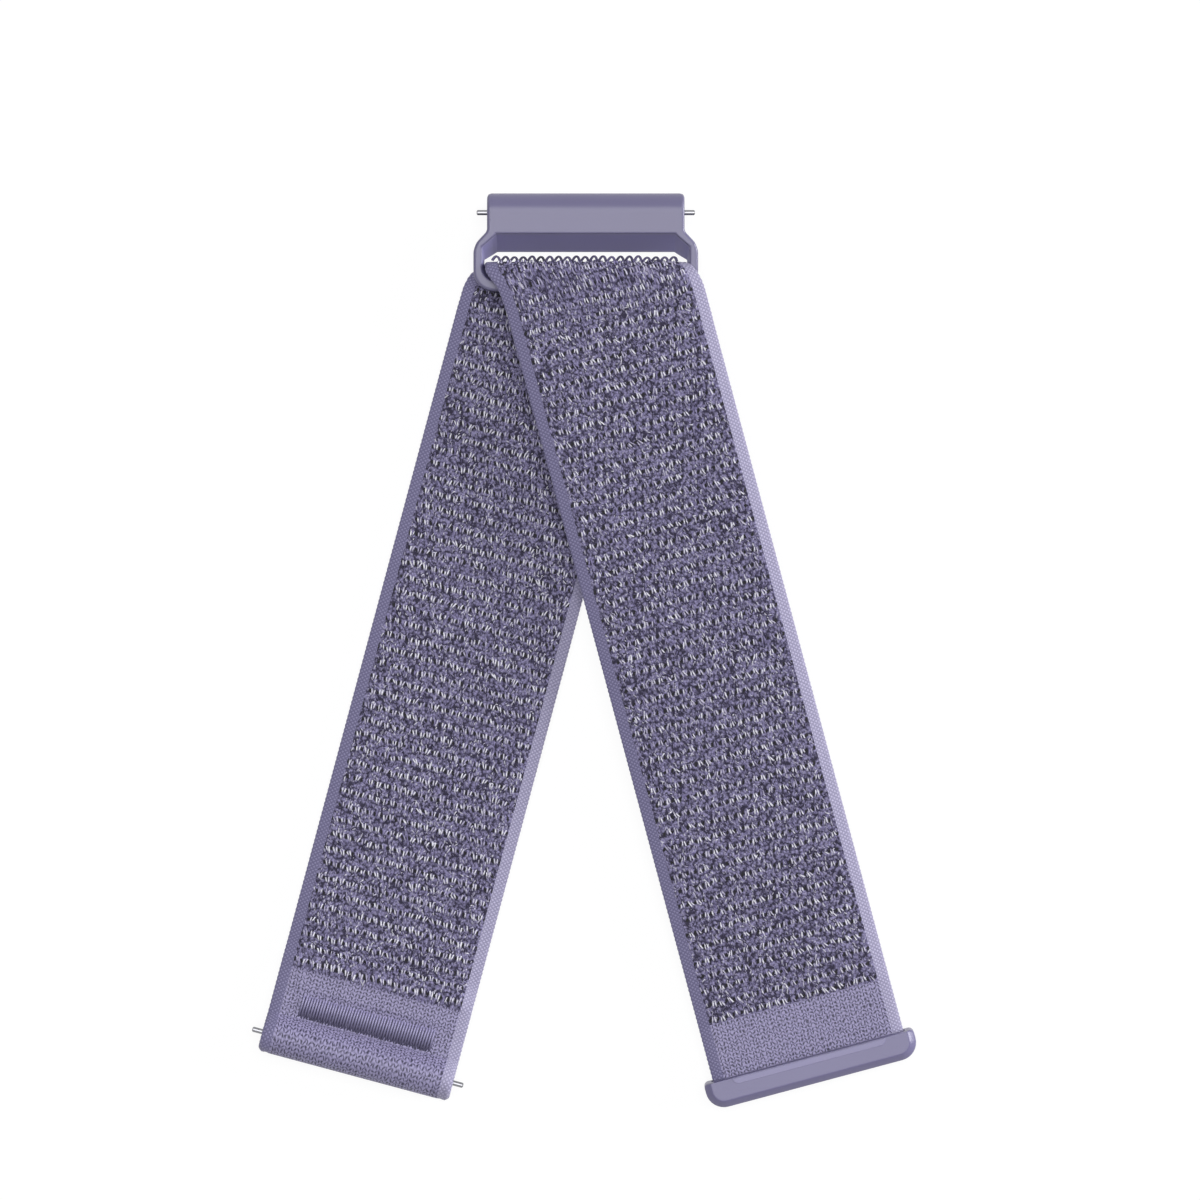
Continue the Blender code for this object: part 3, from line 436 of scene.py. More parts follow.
def bar_profile():
    """The webbing's middle line over the bar: distance past the crest, Y and Z.

    It runs flat behind the bar, over half an ellipse, and flat again down the flap's slope.
    """
    flat = np.linspace(0, LEG_REACH, LEG_STEPS + 1)[1:]
    angle = np.linspace(0, np.pi, 2 * QUARTER_STEPS + 1)
    y = np.concatenate([-flat[::-1], FOLD_REACH * np.sin(angle), -flat])
    z = FOLD_LIFT * np.concatenate([0 * flat - 1, -np.cos(angle), 0 * flat + 1])
    turn = flap_slope * np.concatenate([0 * flat, angle / np.pi, 0 * flat + 1])
    y, z = y * np.cos(turn) - z * np.sin(turn), y * np.sin(turn) + z * np.cos(turn)
    run = np.append(0, np.cumsum(np.hypot(np.diff(y), np.diff(z))))
    bottom, crest, top = run[LEG_STEPS + QUARTER_STEPS * np.arange(3)]
    return run - crest, bar[1] + y, bar[2] + z, crest - bottom, top - crest


def end_path():
    """The main leg's middle line at its end: length along it, distance down the leg, and height.

    It climbs by an S-curve on to its own tail, leaves that by a cubic that meets the loop's arc, goes
    round the spring bar and comes back underneath, flat.
    """
    rise = np.linspace(0, 1, 25)
    ease = rise ** 2 * (3 - 2 * rise)
    raised = strap_level + RAMP_RISE
    angle = np.radians(np.linspace(*LOOP_ARC, 61))
    loop_s = LOOP_CENTRE + LOOP_RADIUS * np.cos(angle)
    loop_z = strap_seat[2] + LOOP_RADIUS * np.sin(angle)
    ahead = loop_s[0] - NECK_PLACE
    neck_z = raised + (loop_z[0] - raised) * ease
    neck_z = neck_z + ahead * np.tan(angle[0] - np.pi / 2) * (rise ** 3 - rise ** 2)
    s = np.concatenate([[SPLIT], RAMP[0] + (RAMP[1] - RAMP[0]) * rise, NECK_PLACE + ahead * rise[:-1],
                        loop_s, [TAIL_PLACE]])
    z = np.concatenate([[strap_level], strap_level + RAMP_RISE * ease, neck_z[:-1], loop_z, [loop_z[-1]]])
    length = SPLIT + np.append(0, np.cumsum(np.hypot(np.diff(s), np.diff(z))))
    return length, s, z


profile_run, profile_y, profile_z, main_quarter, flap_quarter = bar_profile()
path_length, path_s, path_z = end_path()
outermost = int(np.argmax(path_s))
path_end = -path_length[-1] - main_quarter / np.cos(tilt)


def leg_line(run):
    """The middle of each straight leg across the page, by distance past the crest."""
    main = MAIN_OFFSET + (run + main_quarter) * np.tan(tilt)
    flap = FLAP_OFFSET + (run - flap_quarter) * np.tan(tilt)
    return np.where(run < 0, main, flap)


def drawn_edge(side, places):
    """One edge across the page: straight down each leg, and through the given places over the bar,
    with the corners between them eased by a moving mean."""
    fine = np.arange(-20, 20, 0.05) * MM
    straight = leg_line(fine) + side * STRAP_HALF / np.cos(tilt)
    over_bar = (fine > EDGE_RUN[0]) & (fine < EDGE_RUN[-1])
    edge = np.where(over_bar, np.interp(fine, EDGE_RUN, places), straight)
    weights = np.hanning(33)[1:-1]
    return fine[15:-15], np.convolve(edge, weights / weights.sum(), "valid")


edge_run, left_edge = drawn_edge(-1, LEFT_PLACES)
edge_run, right_edge = drawn_edge(1, RIGHT_PLACES)


def main_place(s):
    """How far along the webbing from its crest a distance down the main leg lies, on the upper ply."""
    straight = -s - main_quarter / np.cos(tilt)
    on_path = -np.interp(s, path_s[:outermost], path_length[:outermost]) - main_quarter / np.cos(tilt)
    return np.where(s < SPLIT, straight, on_path)[()]


def flap_place(s):
    """How far along the webbing from its crest a distance down the flap lies."""
    return s + flap_quarter / np.cos(tilt)


def strap_points(x, t, h):
    """Points of the webbing from x across it, t along it and h out of its middle.

    t is nought at the crest, positive down the flap and negative down the main leg. h is positive on
    the outer face, which is the flap's upper one and the main leg's under one. The surface leans
    with the legs and follows the line over the bar or round the end. Over the bar it is squeezed
    thinner and its edges curl up. Round the end the edges are fuller, so that the corners are short.
    """
    x, t, h = np.broadcast_arrays(x, t, h)

    def carried(place, lengths, first, second):
        """A point of a line by its length, and the direction out of the line there."""
        before, after = place - SMALL_STEP, place + SMALL_STEP
        ahead_1 = np.interp(after, lengths, first) - np.interp(before, lengths, first)
        ahead_2 = np.interp(after, lengths, second) - np.interp(before, lengths, second)
        size = np.hypot(ahead_1, ahead_2) + 1e-12
        return (np.interp(place, lengths, first), np.interp(place, lengths, second),
                ahead_2 / size, -ahead_1 / size)

    run = t * np.cos(tilt) - x * np.sin(tilt)
    line, half = leg_line(run), STRAP_HALF / np.cos(tilt)
    near = np.abs(run) < OVER_BAR
    left = np.where(near, np.interp(run, edge_run, left_edge), line - half)
    right = np.where(near, np.interp(run, edge_run, right_edge), line + half)
    share = (x / STRAP_HALF + 1) / 2
    near_bar = np.exp(-(run / NEAR_BAR) ** 2)
    curl = EDGE_CURL[0] * near_bar * np.clip((np.abs(x) - EDGE_CURL[1]) / EDGE_CURL[2], 0, 1)
    squeezed = h * (1 - FOLD_PULL * near_bar) + curl
    y, z, out_y, out_z = carried(run, profile_run, profile_y, profile_z)
    over = (bar[0] + left * (1 - share) + right * share, y + squeezed * out_y, z + squeezed * out_z)

    length = -t - main_quarter / np.cos(tilt)
    s, z, out_s, out_z = carried(length, path_length, path_s, path_z)
    filled = EDGE_FILL[0] * np.exp(-((np.abs(x) - EDGE_FILL[1]) / EDGE_FILL[2]) ** 2)
    h = h * (1 + filled * np.clip((s - MAIN_LENGTH + FILL_START[0]) / FILL_START[1], 0, 1))
    s = s + h * out_s
    end = (bar[0] + MAIN_OFFSET + x * np.cos(tilt) - s * np.sin(tilt),
           bar[1] - x * np.sin(tilt) - s * np.cos(tilt), z + h * out_z)
    at_end = length > END_START
    return np.stack([np.where(at_end, a, b) for a, b in zip(end, over)], -1)


# The bartack's place, because its stitches pull the fabric in
TACK_PLACE = MAIN_LENGTH - 5.84 * MM
TACK_HALF_LENGTH = 7.5 * MM
TACK_HALF_WIDTH = 1.35 * MM
TACK_SINK = 0.16 * MM
TACK_PULL = 0.8 * MM
top_tack = main_place(TACK_PLACE)
under_tack = path_end + (TACK_PLACE - TAIL_PLACE)


def pressed(x, t):
    """How deep the bartack pulls the fabric in: full under its stitches, easing to nothing beside."""
    depth = 0
    for place in (top_tack, under_tack):
        off = np.maximum(np.abs(t - place) - TACK_HALF_WIDTH, np.abs(x) - TACK_HALF_LENGTH) / TACK_PULL
        share = np.clip(1 - off, 0, 1)
        depth = depth + TACK_SINK * share * share * (3 - 2 * share)
    return depth


def fabric(name, first, last, bare, step=0.13 * MM):
    """One stretch of the woven ground, from one place along the webbing to a later one.

    A half section is mirrored to a closed one and carried along, and its edge swells and thins with
    the twill. bare holds the outer face's and the inner face's place and direction in which the
    section eases to that of bare fabric. The UV map holds millimetres across and along.
    """
    count = int(np.ceil((last - first) / step)) + 1
    t = np.linspace(first, last, count)[:, None]
    ease = []
    for place, way in bare:
        share = np.clip((t - place) * way / BARE_EASE, 0, 1)
        ease.append(share * share * (3 - 2 * share))
    across = np.append(EDGE_ACROSS, -EDGE_ACROSS[::-1])
    section = []
    for face, share in zip((1, -1), ease):
        half = PILE_GROUND * (1 - share) + BARE_GROUND * share
        section.append(face * np.concatenate([half, half[:, ::-1]], 1))
    h = np.concatenate([section[0], section[1][:, -2:0:-1]], 1)
    x = np.broadcast_to(np.append(across, across[-2:0:-1]), h.shape)
    edge = np.clip((np.abs(x) - SELVEDGE_INNER) / SELVEDGE_WIDTH, 0, 1)
    h = h * (1 + TWILL_SWELL * edge * np.sin(2 * np.pi * (t / TWILL_PITCH + np.abs(x) / TWILL_LEAN)))
    h = h + (h < 0) * pressed(x, t)
    x = x + SCALLOP * np.sign(x) * edge ** 3 * np.sin(2 * np.pi * t / TWILL_PITCH)
    widths = (len(across), h.shape[1] - len(across))
    plain = np.concatenate([np.repeat(share[:-1] > 0.5, n, 1) for share, n in zip(ease, widths)], 1)
    selvedge = np.abs(x[:-1]) > SELVEDGE_INNER
    kind = np.where(selvedge | np.roll(selvedge, -1, 1), 1, np.where(plain, 2, 0))
    piece = new_piece(name, strap_points(x, t, h), tube_faces(*h.shape), webbing_materials,
                      np.append(kind, (2, 2)))
    uv = np.stack(np.broadcast_arrays(x, t), -1).reshape(-1, 2) / MM
    corners = np.empty(len(piece.data.loops), np.int32)
    piece.data.loops.foreach_get("vertex_index", corners)
    piece.data.uv_layers.new(name="UVMap").uv.foreach_set("vector", uv[corners].ravel())
    return piece


# The UV map holds millimetres, so a pattern's scale here is how many of it go to a millimetre


def crossing_twill(name, left, right, spacing):
    """Woven selvedge: fine floats that cross in a twill, spacing millimetres apart. Its colours hold
    painted light: darker at the left edge as painted shade, and lighter at the right edge as painted light
    from the right."""
    material, tree = new_material(name, 0.6, IOR=1.53, Sheen_Weight=0.1)
    place = add_node(tree, "TexCoord").outputs["UV"]
    waves = []
    for angle in (0.85, -0.85):
        leaning = add_node(tree, "Mapping", Vector=place, Rotation=(0, 0, angle))
        waves.append(add_node(tree, "TexWave", Vector=leaning, Scale=WAVE_UNIT / spacing,
                              Distortion=0.7, Detail=1.0).outputs["Fac"])
    cross = add_node(tree, "Math", "MINIMUM", i0=waves[0], i1=waves[1])
    fibre = add_node(tree, "TexNoise", Vector=place, Scale=9.0, Detail=2.0)
    mixed = add_node(tree, "Math", "MULTIPLY_ADD", i0=fibre, i1=0.35, i2=cross)
    across = add_node(tree, "SeparateXYZ", Vector=place)
    # Painted light: the sign of the distance across picks the left colours, darker as painted shade, or the
    # right ones, lighter as painted light
    side = add_node(tree, "Math", "GREATER_THAN", i0=across, i1=0.0)
    edges = [add_node(tree, "Mix", COLOURS, i0=mixed, i6=low, i7=high) for low, high in (left, right)]
    colour = add_node(tree, "Mix", COLOURS, i0=side, i6=edges[0], i7=edges[1])
    return paint(material, colour, cross, 0.5, 0.1 * MM)


def knitted(name, code, shadow, wale, course):
    """Bare fabric with its loops left low: columns of small V stitches, wale by course millimetres,
    with a dark slit of painted shade along each leg, every one a little out of its place."""
    material, tree = new_material(name, 0.55, IOR=1.53)
    place = add_node(tree, "TexCoord").outputs["UV"]
    drift = add_node(tree, "TexNoise", Vector=place, Scale=2.0, Detail=2.0).outputs["Color"]
    moved = add_node(tree, "VectorMath", "MULTIPLY_ADD", i0=drift, i1=(0.6, 0.6, 0), i2=place)
    scaled = add_node(tree, "Mapping", Vector=moved, Scale=(1 / wale, 1 / course, 1))
    axes = add_node(tree, "SeparateXYZ", Vector=scaled).outputs
    half = add_node(tree, "Math", "PINGPONG", i0=axes["X"], i1=0.5)
    leg = add_node(tree, "Math", "PINGPONG", i0=half, i1=0.25)
    along = add_node(tree, "Math", "MULTIPLY_ADD", i0=half, i1=1.6, i2=axes["Y"])
    stitch = add_node(tree, "Math", "PINGPONG", i0=along, i1=0.5)
    depth = add_node(tree, "Math", "MULTIPLY_ADD", i0=leg, i1=-1.7, i2=stitch)
    noise = add_node(tree, "TexNoise", Vector=place, Scale=3.6, Detail=3.0)
    uneven = add_node(tree, "Math", "MULTIPLY_ADD", i0=noise, i1=0.5, i2=depth)
    seen = add_node(tree, "MapRange", Value=uneven, i1=-0.02, i2=0.46)
    # Painted shade: the low places of the stitches take the shadow colour
    colour = add_node(tree, "Mix", COLOURS, i0=seen, i6=shadow, i7=code)
    return paint(material, colour, seen, 0.5, 0.06 * MM)


# In millimetres too: how far apart the rows of standing loops are, and the loops in a row, on the
# main leg and on the flap
ROW_PITCH = 1.614
TOOTH_PITCHES = (0.787, 0.886)


def pile_ground():
    """The roots of the loops: a close felt of fine curls, mid in tone, with a small dark hole of
    painted shade on each side of every standing loop, where its yarn dives through. A hole is an
    uneven ellipse, halfway between two loops of a row."""
    material, tree = new_material("Woven ground of the loop pile", 0.85, IOR=1.53)
    place = add_node(tree, "TexCoord").outputs["UV"]
    curls = add_node(tree, "TexVoronoi", Vector=place, Scale=2.9)
    fibre = add_node(tree, "TexNoise", Vector=place, Scale=5.0, Detail=3.0)
    uneven = add_node(tree, "Math", "MULTIPLY_ADD", i0=fibre, i1=-0.9, i2=curls)
    felt = add_node(tree, "MapRange", Value=uneven, i1=-0.35, i2=0.3, i3=1.0, i4=0.0)
    colour = add_node(tree, "Mix", COLOURS, i0=felt, i6="#252038", i7="#9d97c0")
    axes = add_node(tree, "SeparateXYZ", Vector=place).outputs
    coarse, fine = (1 / pitch for pitch in TOOTH_PITCHES)
    flap = add_node(tree, "Math", "GREATER_THAN", i0=axes["Y"], i1=0.0)
    often = add_node(tree, "Math", "MULTIPLY_ADD", i0=flap, i1=fine - coarse, i2=coarse)
    row = add_node(tree, "Math", "MULTIPLY", i0=axes["Y"], i1=0.5 / ROW_PITCH)
    tooth = add_node(tree, "Math", "MULTIPLY_ADD", i0=axes["X"], i1=often, i2=row)
    # How far from a hole's middle, in a hole's own half width and half length
    across = add_node(tree, "Math", "PINGPONG", i0=tooth, i1=0.5)
    across = add_node(tree, "Math", "MULTIPLY_ADD", i0=across, i1=-5.4, i2=2.7)
    along = add_node(tree, "Math", "PINGPONG", i0=row, i1=0.25)
    along = add_node(tree, "Math", "MULTIPLY", i0=along, i1=13.0)
    reach = add_node(tree, "CombineXYZ", X=across, Y=along)
    reach = add_node(tree, "VectorMath", "LENGTH", i0=reach)
    ragged = add_node(tree, "Math", "MULTIPLY_ADD", i0=fibre, i1=1.6, i2=reach)
    rim = add_node(tree, "MapRange", Value=ragged, i1=1.5, i2=2.1)
    # Painted shade: each hole is near black
    colour = add_node(tree, "Mix", COLOURS, i0=rim, i6="#08060c", i7=colour)
    return paint(material, colour, felt, 0.6, 0.15 * MM)


webbing_materials = [
    pile_ground(),
    # Painted light: the left pair of colours is darker as painted shade and the right pair lighter as
    # painted light from the right
    crossing_twill("Woven nylon selvedge", ("#5a567a", "#918cb2"), ("#7c7897", "#b0abc8"), 0.33),
    knitted("Flat-knitted nylon end", "#9a94ba", "#231e3c", 0.7, 0.43),
]


def bend_zone(leg, number):
    """The two ends of the short length over which a leg bends, on either side of its joint."""
    first, second = (np.array(joints[f"{leg}_bend_{n}"]["pos_m"]) for n in (1, 2))
    along = (second - first) / np.linalg.norm(second - first)
    middle = (first, second)[number - 1]
    return tuple(middle - along * HALF_BEND), tuple(middle + along * HALF_BEND)


# A face with pile all along its stretch
NEVER = (0.0, 0)
# Each stretch: where it runs, the two bodies it bends between and where, for both faces the place and
# the direction in which their pile ends, and the CAD nodes that it stands for
STRETCHES = {
    "main_upper": (main_place(SPLIT), -FOLD_END, ("main_strap", "main_middle"), bend_zone("main", 1),
                   (NEVER, NEVER), ("webbing_main_upper", "webbing_main_bend_1", "webbing_main_middle")),
    "main_end": (path_end, main_place(SPLIT), ("main_middle", "main_end"), bend_zone("main", 2),
                 ((main_place(RAMP[0]), -1), (main_place(MAIN_PILE_END), -1)),
                 ("webbing_main_bend_2", "webbing_main_end")),
    "fold": (-FOLD_END, FOLD_END, ("main_strap", "flap"),
             ((bar[0], bar[1], 2.25 * MM), (bar[0], bar[1], 4.3 * MM)), (NEVER, NEVER), ("webbing_fold",)),
    "flap_upper": (FOLD_END, flap_place(SPLIT), ("flap", "flap_middle"), bend_zone("flap", 1),
                   (NEVER, NEVER), ("webbing_flap_upper", "webbing_flap_bend_1", "webbing_flap_middle")),
    "flap_end": (flap_place(SPLIT), flap_place(FLAP_LENGTH + IN_CAP), ("flap_middle", "flap_end"),
                 bend_zone("flap", 2), ((flap_place(FLAP_PILE_END), 1), (flap_place(PATCH_PILE_END), 1)),
                 ("webbing_flap_bend_2", "webbing_flap_end")),
}


def dress(piece, nodes):
    """Bakes a finished piece of a stretch into its mesh where it stands, and hides the CAD nodes that it
    stands for.
    """
    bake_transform(piece)
    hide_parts(*nodes)


for name, (first, last, bodies, zone, bare, nodes) in STRETCHES.items():
    dress(fabric(f"webbing_{name}_ground", first, last, bare), nodes)

# Loop pile. Textured nylon yarn woven in with the ground and left standing on both faces, so that
# the hooks can grip it: rows of tall bright loops across, with finer crushed loops between them.
PILE_HALF = 9.4 * MM
PILE_FOOT = 0.6 * MM
PILE_MARGIN = 0.12 * MM
STRANDS = (-0.14 * MM, 0.14 * MM)
FINE_PITCHES = (0.34 * MM, 0.9 * MM)
HOLE = (0.23, 0.36)
CREST_SHADOW = (0.35, 3.2 * MM)
UNDER_BAR = 3.9 * MM
rng = np.random.default_rng(22)


def arches(x, t, turn, length, low, rise, radius, face, flat=1.0, parts=4, sides=4, skew=1.0):
    """Threads that leave the fabric, arch over and go back in, each as a closed tube.

    A thread runs in its own direction, turned from the webbing's length. Its height is a sine raised
    to a power, less than 1 for a flatter top, of the share run raised to the skew, above 1 for a top
    further on, and a ring of points is carried along it.
    """
    share = np.linspace(0, 1, parts + 1)
    x, t, turn, length, low, rise, radius = (
        np.broadcast_to(value, np.shape(x))[:, None] for value in (x, t, turn, length, low, rise, radius))
    along, height = (share - 0.5) * length, low + rise * np.abs(np.sin(np.pi * share ** skew)) ** flat
    ahead, up = np.gradient(along, axis=1), np.gradient(height, axis=1)
    size = np.hypot(ahead, up)
    ahead, up = ahead / size, up / size
    across, forward = np.sin(turn), np.cos(turn)
    angle = (np.arange(sides) + 0.5) * 2 * np.pi / sides
    side, above = radius[..., None] * np.cos(angle), radius[..., None] * np.sin(angle)
    place_x = (x + along * across)[..., None] + forward[..., None] * side - (up * across)[..., None] * above
    place_t = (t + along * forward)[..., None] - across[..., None] * side - (up * forward)[..., None] * above
    place_h = height[..., None] + ahead[..., None] * above
    points = strap_points(place_x, place_t, place_h * face)
    start = np.arange(len(x))[:, None, None] * (parts + 1) * sides
    tube = (start + ring_quads(parts + 1, sides)).reshape(-1, 4)
    ring = start[:, 0] + np.arange(sides)
    caps = np.concatenate([ring[:, ::-1], ring + parts * sides])
    return points, [tuple(item) for block in (tube, caps) for item in block[:, ::face]]


def mottle(x, t):
    """Lighter and darker bands that lean across the webbing, where brushing has left the loops: a
    sum of four waves."""
    waves = ((1, 3.5, 5.4, 0), (0.8, 2.3, -4.1, 1), (0.7, 5.1, 2.7, 2), (0.6, 7.9, -9, 4))
    return sum(weight * np.cos(2 * np.pi * (x / MM / apart + t / MM / along) + shift)
               for weight, apart, along, shift in waves)


def standing_rows(first, last, pitch):
    """The tall loops' places: rows across the webbing, each half a pitch on from the one before."""
    row = np.arange(np.ceil(first / MM / ROW_PITCH), np.ceil(last / MM / ROW_PITCH))[:, None]
    widest = int(PILE_HALF / MM / pitch) + 2
    column = np.arange(-widest, widest + 1)[None, :]
    x = ((column + (row % 2) / 2) * pitch + 0 * row) * MM
    t = (row * ROW_PITCH + 0 * column) * MM
    within = np.abs(x) < PILE_HALF - PILE_MARGIN
    return x[within], t[within]


def crushed_places(first, last, apart, pitch):
    """The fine loops' places: one at random in each cell of a square grid, but few of them over the
    holes beside the standing loops."""
    cells_x, cells_t = int(2 * PILE_HALF / apart), max(int((last - first) / apart), 1)
    x, t = np.meshgrid(np.arange(cells_x), np.arange(cells_t))
    x = (-PILE_HALF + (x + rng.random(x.shape)) * 2 * PILE_HALF / cells_x).ravel()
    t = (first + (t + rng.random(t.shape)) * (last - first) / cells_t).ravel()
    row = t / MM / ROW_PITCH
    tooth = x / MM / pitch + row / 2
    across = np.abs(tooth - np.floor(tooth) - 0.5) * pitch / HOLE[0]
    along = (row - np.round(row)) * ROW_PITCH / HOLE[1]
    keep = (np.hypot(across, along) > 1) | (rng.random(len(x)) < 0.06)
    return x[keep], t[keep]


FIBRE_GRAIN = 0.111 * MM
BRIGHTEST = 1.3


def loop_yarn():
    """Textured nylon yarn in loops: matt, with fine fibres, tone by tone lighter where a loop stands
    free and darker where it is crushed, by an attribute that each loop carries."""
    material, tree = new_material("Textured nylon loop yarn", 0.7, IOR=1.53)
    tone = add_node(tree, "Attribute", {"attribute_name": "shade"}).outputs["Fac"]
    place = add_node(tree, "TexCoord").outputs["Object"]
    fibre = add_node(tree, "TexNoise", Vector=place, Scale=1 / FIBRE_GRAIN, Detail=2.0)
    uneven = add_node(tree, "Math", "MULTIPLY_ADD", i0=fibre, i1=0.3, i2=tone)
    scaled = add_node(tree, "Math", "MULTIPLY", i0=uneven, i1=1 / BRIGHTEST)
    ramp = add_node(tree, "ValToRGB", Fac=scaled)
    stops = ((0.15, "#1d1930"), (0.4, "#5f587e"), (0.65, "#8a83ad"), (0.9, "#bab5cd"), (1.15, "#ebeaf4"))
    band = ramp.color_ramp
    while len(band.elements) < len(stops):
        band.elements.new(0.5)
    for element, (position, code) in zip(band.elements, stops):
        element.position = position / BRIGHTEST
        element.color = linear(code)
    return paint(material, ramp)


pile_yarn = loop_yarn()


def thread_piece(name, groups, material):
    """One mesh of many threads, with a shade for each thread or for each of its points."""
    points, faces, shades, count = [], [], [], 0
    for (group_points, group_faces), shade in groups:
        flat = group_points.reshape(-1, 3)
        faces += [tuple(corner + count for corner in face) for face in group_faces]
        points.append(flat)
        shades.append(np.repeat(shade, len(flat) // len(shade)))
        count += len(flat)
    piece = new_piece(name, np.concatenate(points), faces, [material])
    attribute = piece.data.attributes.new("shade", "FLOAT", "POINT")
    attribute.data.foreach_set("value", np.concatenate(shades).astype(np.float32))
    return piece


def pile_groups(first, last, face, pitch, seen):
    """The standing and crushed loops of one face of a stretch, finer on a face that is seen. Of the
    crushed ones a quarter are bright, two fifths mid in tone and the rest dark."""

    def clear_of_bar(x, t):
        """The places that don't lie between the fabric and the bar that it turns over."""
        clear = np.abs(t * np.cos(tilt) - x * np.sin(tilt)) > (0 if face > 0 else UNDER_BAR)
        return x[clear], t[clear], clear.sum()

    x, t, count = clear_of_bar(*standing_rows(first, last, pitch))
    x = x + rng.normal(0, 0.05 * MM, count)
    t = t + rng.normal(0, 0.07 * MM, count)
    tone = 0.88 + rng.normal(0, 0.1, count) + 0.05 * mottle(x, t)
    tone = tone - CREST_SHADOW[0] * np.exp(-(t / CREST_SHADOW[1]) ** 2)
    lean = rng.normal(0.12, 0.2, count) * np.sign(first + last)
    groups = []
    for strand in STRANDS if seen else (0,):
        loops = arches(x + strand, t + rng.normal(0, 0.06 * MM, count), lean + strand / MM,
                       length=rng.normal(0.6, 0.09, count) * MM, low=PILE_FOOT,
                       rise=rng.normal(0.4, 0.06, count) * MM, radius=rng.normal(0.088, 0.012, count) * MM,
                       face=face, parts=3, sides=4 if seen else 3)
        groups.append((loops, tone + rng.normal(0, 0.16, count)))
    x, t, count = clear_of_bar(*crushed_places(first, last, FINE_PITCHES[0 if seen else 1], pitch))
    kind = rng.random(count) - 0.04 * mottle(x, t)
    shade = np.select([kind < 0.24, kind < 0.66], [0.88, 0.62], 0.08) + rng.normal(0, 0.1, count)
    lean = rng.normal(0.15, 0.5, count) * np.sign(first + last)
    loops = arches(x, t, lean, length=rng.uniform(0.35, 0.75, count) * MM, low=PILE_FOOT,
                   rise=rng.uniform(0.12, 0.32, count) * MM, radius=rng.uniform(0.045, 0.085, count) * MM,
                   face=face, parts=2, sides=3)
    groups.append((loops, shade + 0.06 * mottle(x, t)))
    return groups


# Over the bar, one row of loops is drawn up tall on the crest
CREST_PITCH = 0.94 * MM
CREST_SPAN = (-9.6 * MM, 9.8 * MM)
CREST_PLACE = 0.1 * MM
crest_x = np.arange(*CREST_SPAN, CREST_PITCH)

for name, (first, last, bodies, zone, bare, nodes) in STRETCHES.items():
    groups = []
    for face, (place, way) in zip((1, -1), bare):
        start = place if way < 0 else first
        end = place if way > 0 else last
        seen = (face > 0) != name.startswith("main")
        groups += pile_groups(start, end, face, TOOTH_PITCHES[int(start + end > 0)], seen)
    if name == "fold":
        crest_t = (CREST_PLACE + crest_x * np.sin(tilt)) / np.cos(tilt)
        tall = arches(crest_x, crest_t, np.pi / 2 - tilt, length=0.86 * MM, low=0.7 * MM,
                      rise=rng.normal(0.76, 0.06, len(crest_x)) * MM, radius=0.15 * MM, face=1,
                      flat=0.65, parts=9, sides=6, skew=1.3)
        groups.append((tall, rng.normal(0.12, 0.07, len(crest_x))))
    dress(thread_piece(f"webbing_{name}_pile", groups, pile_yarn), nodes)

# Bartack. A dense bar of satin stitches in polished thread that closes the webbing's loop round the
# spring bar. Its stitches lie side by side along the strap on both faces and pull the plies together.
STITCH_PITCH = 0.306 * MM
STITCH_RADIUS = 0.15 * MM
STITCH_PARTS = 12
STITCH_SIDES = 8
TWIST_PITCH = 0.12 * MM


def polished_thread(name, code, shadow):
    """Twisted bonded nylon thread: a soft lustre along each stitch and a fine twist across it. An
    attribute paints shade on it: darker towards the end at which the stitches sink between the plies, and on
    the side of each stitch that faces the fabric."""
    material, tree = new_material(name, 0.4, IOR=1.53, Sheen_Weight=0.1)
    place = add_node(tree, "TexCoord").outputs["Object"]
    twist = add_node(tree, "TexWave", {"bands_direction": "DIAGONAL"}, Vector=place,
                     Scale=WAVE_UNIT / TWIST_PITCH, Distortion=1.0, Detail=1.0).outputs["Fac"]
    lit = add_node(tree, "Attribute", {"attribute_name": "shade"}).outputs["Fac"]
    thread = add_node(tree, "Mix", COLOURS, i0=twist, i6=shadow, i7=code)
    # Painted shade: where the attribute is low, the thread is mixed towards near black
    return paint(material, add_node(tree, "Mix", COLOURS, i0=lit, i6="#1a1533", i7=thread))


tack_thread = polished_thread("Twisted bonded nylon thread", "#aaa4cd", "#8e88b3")
stitch_x = np.arange(-TACK_HALF_LENGTH + STITCH_PITCH / 2, TACK_HALF_LENGTH, STITCH_PITCH)
# Painted shade on each stitch: light by how far it has come out along its length and by how far round it
# faces out, dark at its sunk end and on its side towards the fabric
along = np.clip(np.linspace(-0.1, 1.5, STITCH_PARTS + 1), 0, 1)[:, None]
round_it = np.clip(np.sin((np.arange(STITCH_SIDES) + 0.5) * 2 * np.pi / STITCH_SIDES), 0, 1) ** 2
lit = np.tile((along * round_it).ravel(), len(stitch_x))
groups = []
for place in (top_tack, under_tack):
    lean = np.where(np.arange(len(stitch_x)) % 2, 0.05, 0.03) + rng.normal(0, 0.01, len(stitch_x))
    long = 2 * TACK_HALF_WIDTH + rng.normal(0, 0.05, len(stitch_x)) * MM
    stitches = arches(stitch_x, place, lean, long, low=0.22 * MM, rise=0.48 * MM, radius=STITCH_RADIUS,
                      face=-1, flat=0.5, parts=STITCH_PARTS, sides=STITCH_SIDES, skew=1.7)
    groups.append((stitches, lit))
bartack = thread_piece("bartack_stitches", groups, tack_thread)
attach(bartack, "main_end")
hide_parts("bartack_stitching")

# Hook patch. A moulded tape of small nylon hooks, welded under the flap's end, that grips the loops
# when the strap is closed. The tape is stiff and slightly glossy, with rounded corners.
PATCH_HALF = 8.7 * MM
PATCH_SPAN = (68.68 * MM, 86.2 * MM)
PATCH_CORNER = 1.5 * MM
TAPE_FACES = (-0.62 * MM, -0.84 * MM)
HOOK_PITCH = (0.62 * MM, 0.78 * MM)
HOOK_HALF = 8.1 * MM
HOOK_MARGINS = (0.8 * MM, 0.6 * MM)
SUNK = 0.03 * MM
CLOUD_WIDTH = 1.111 * MM


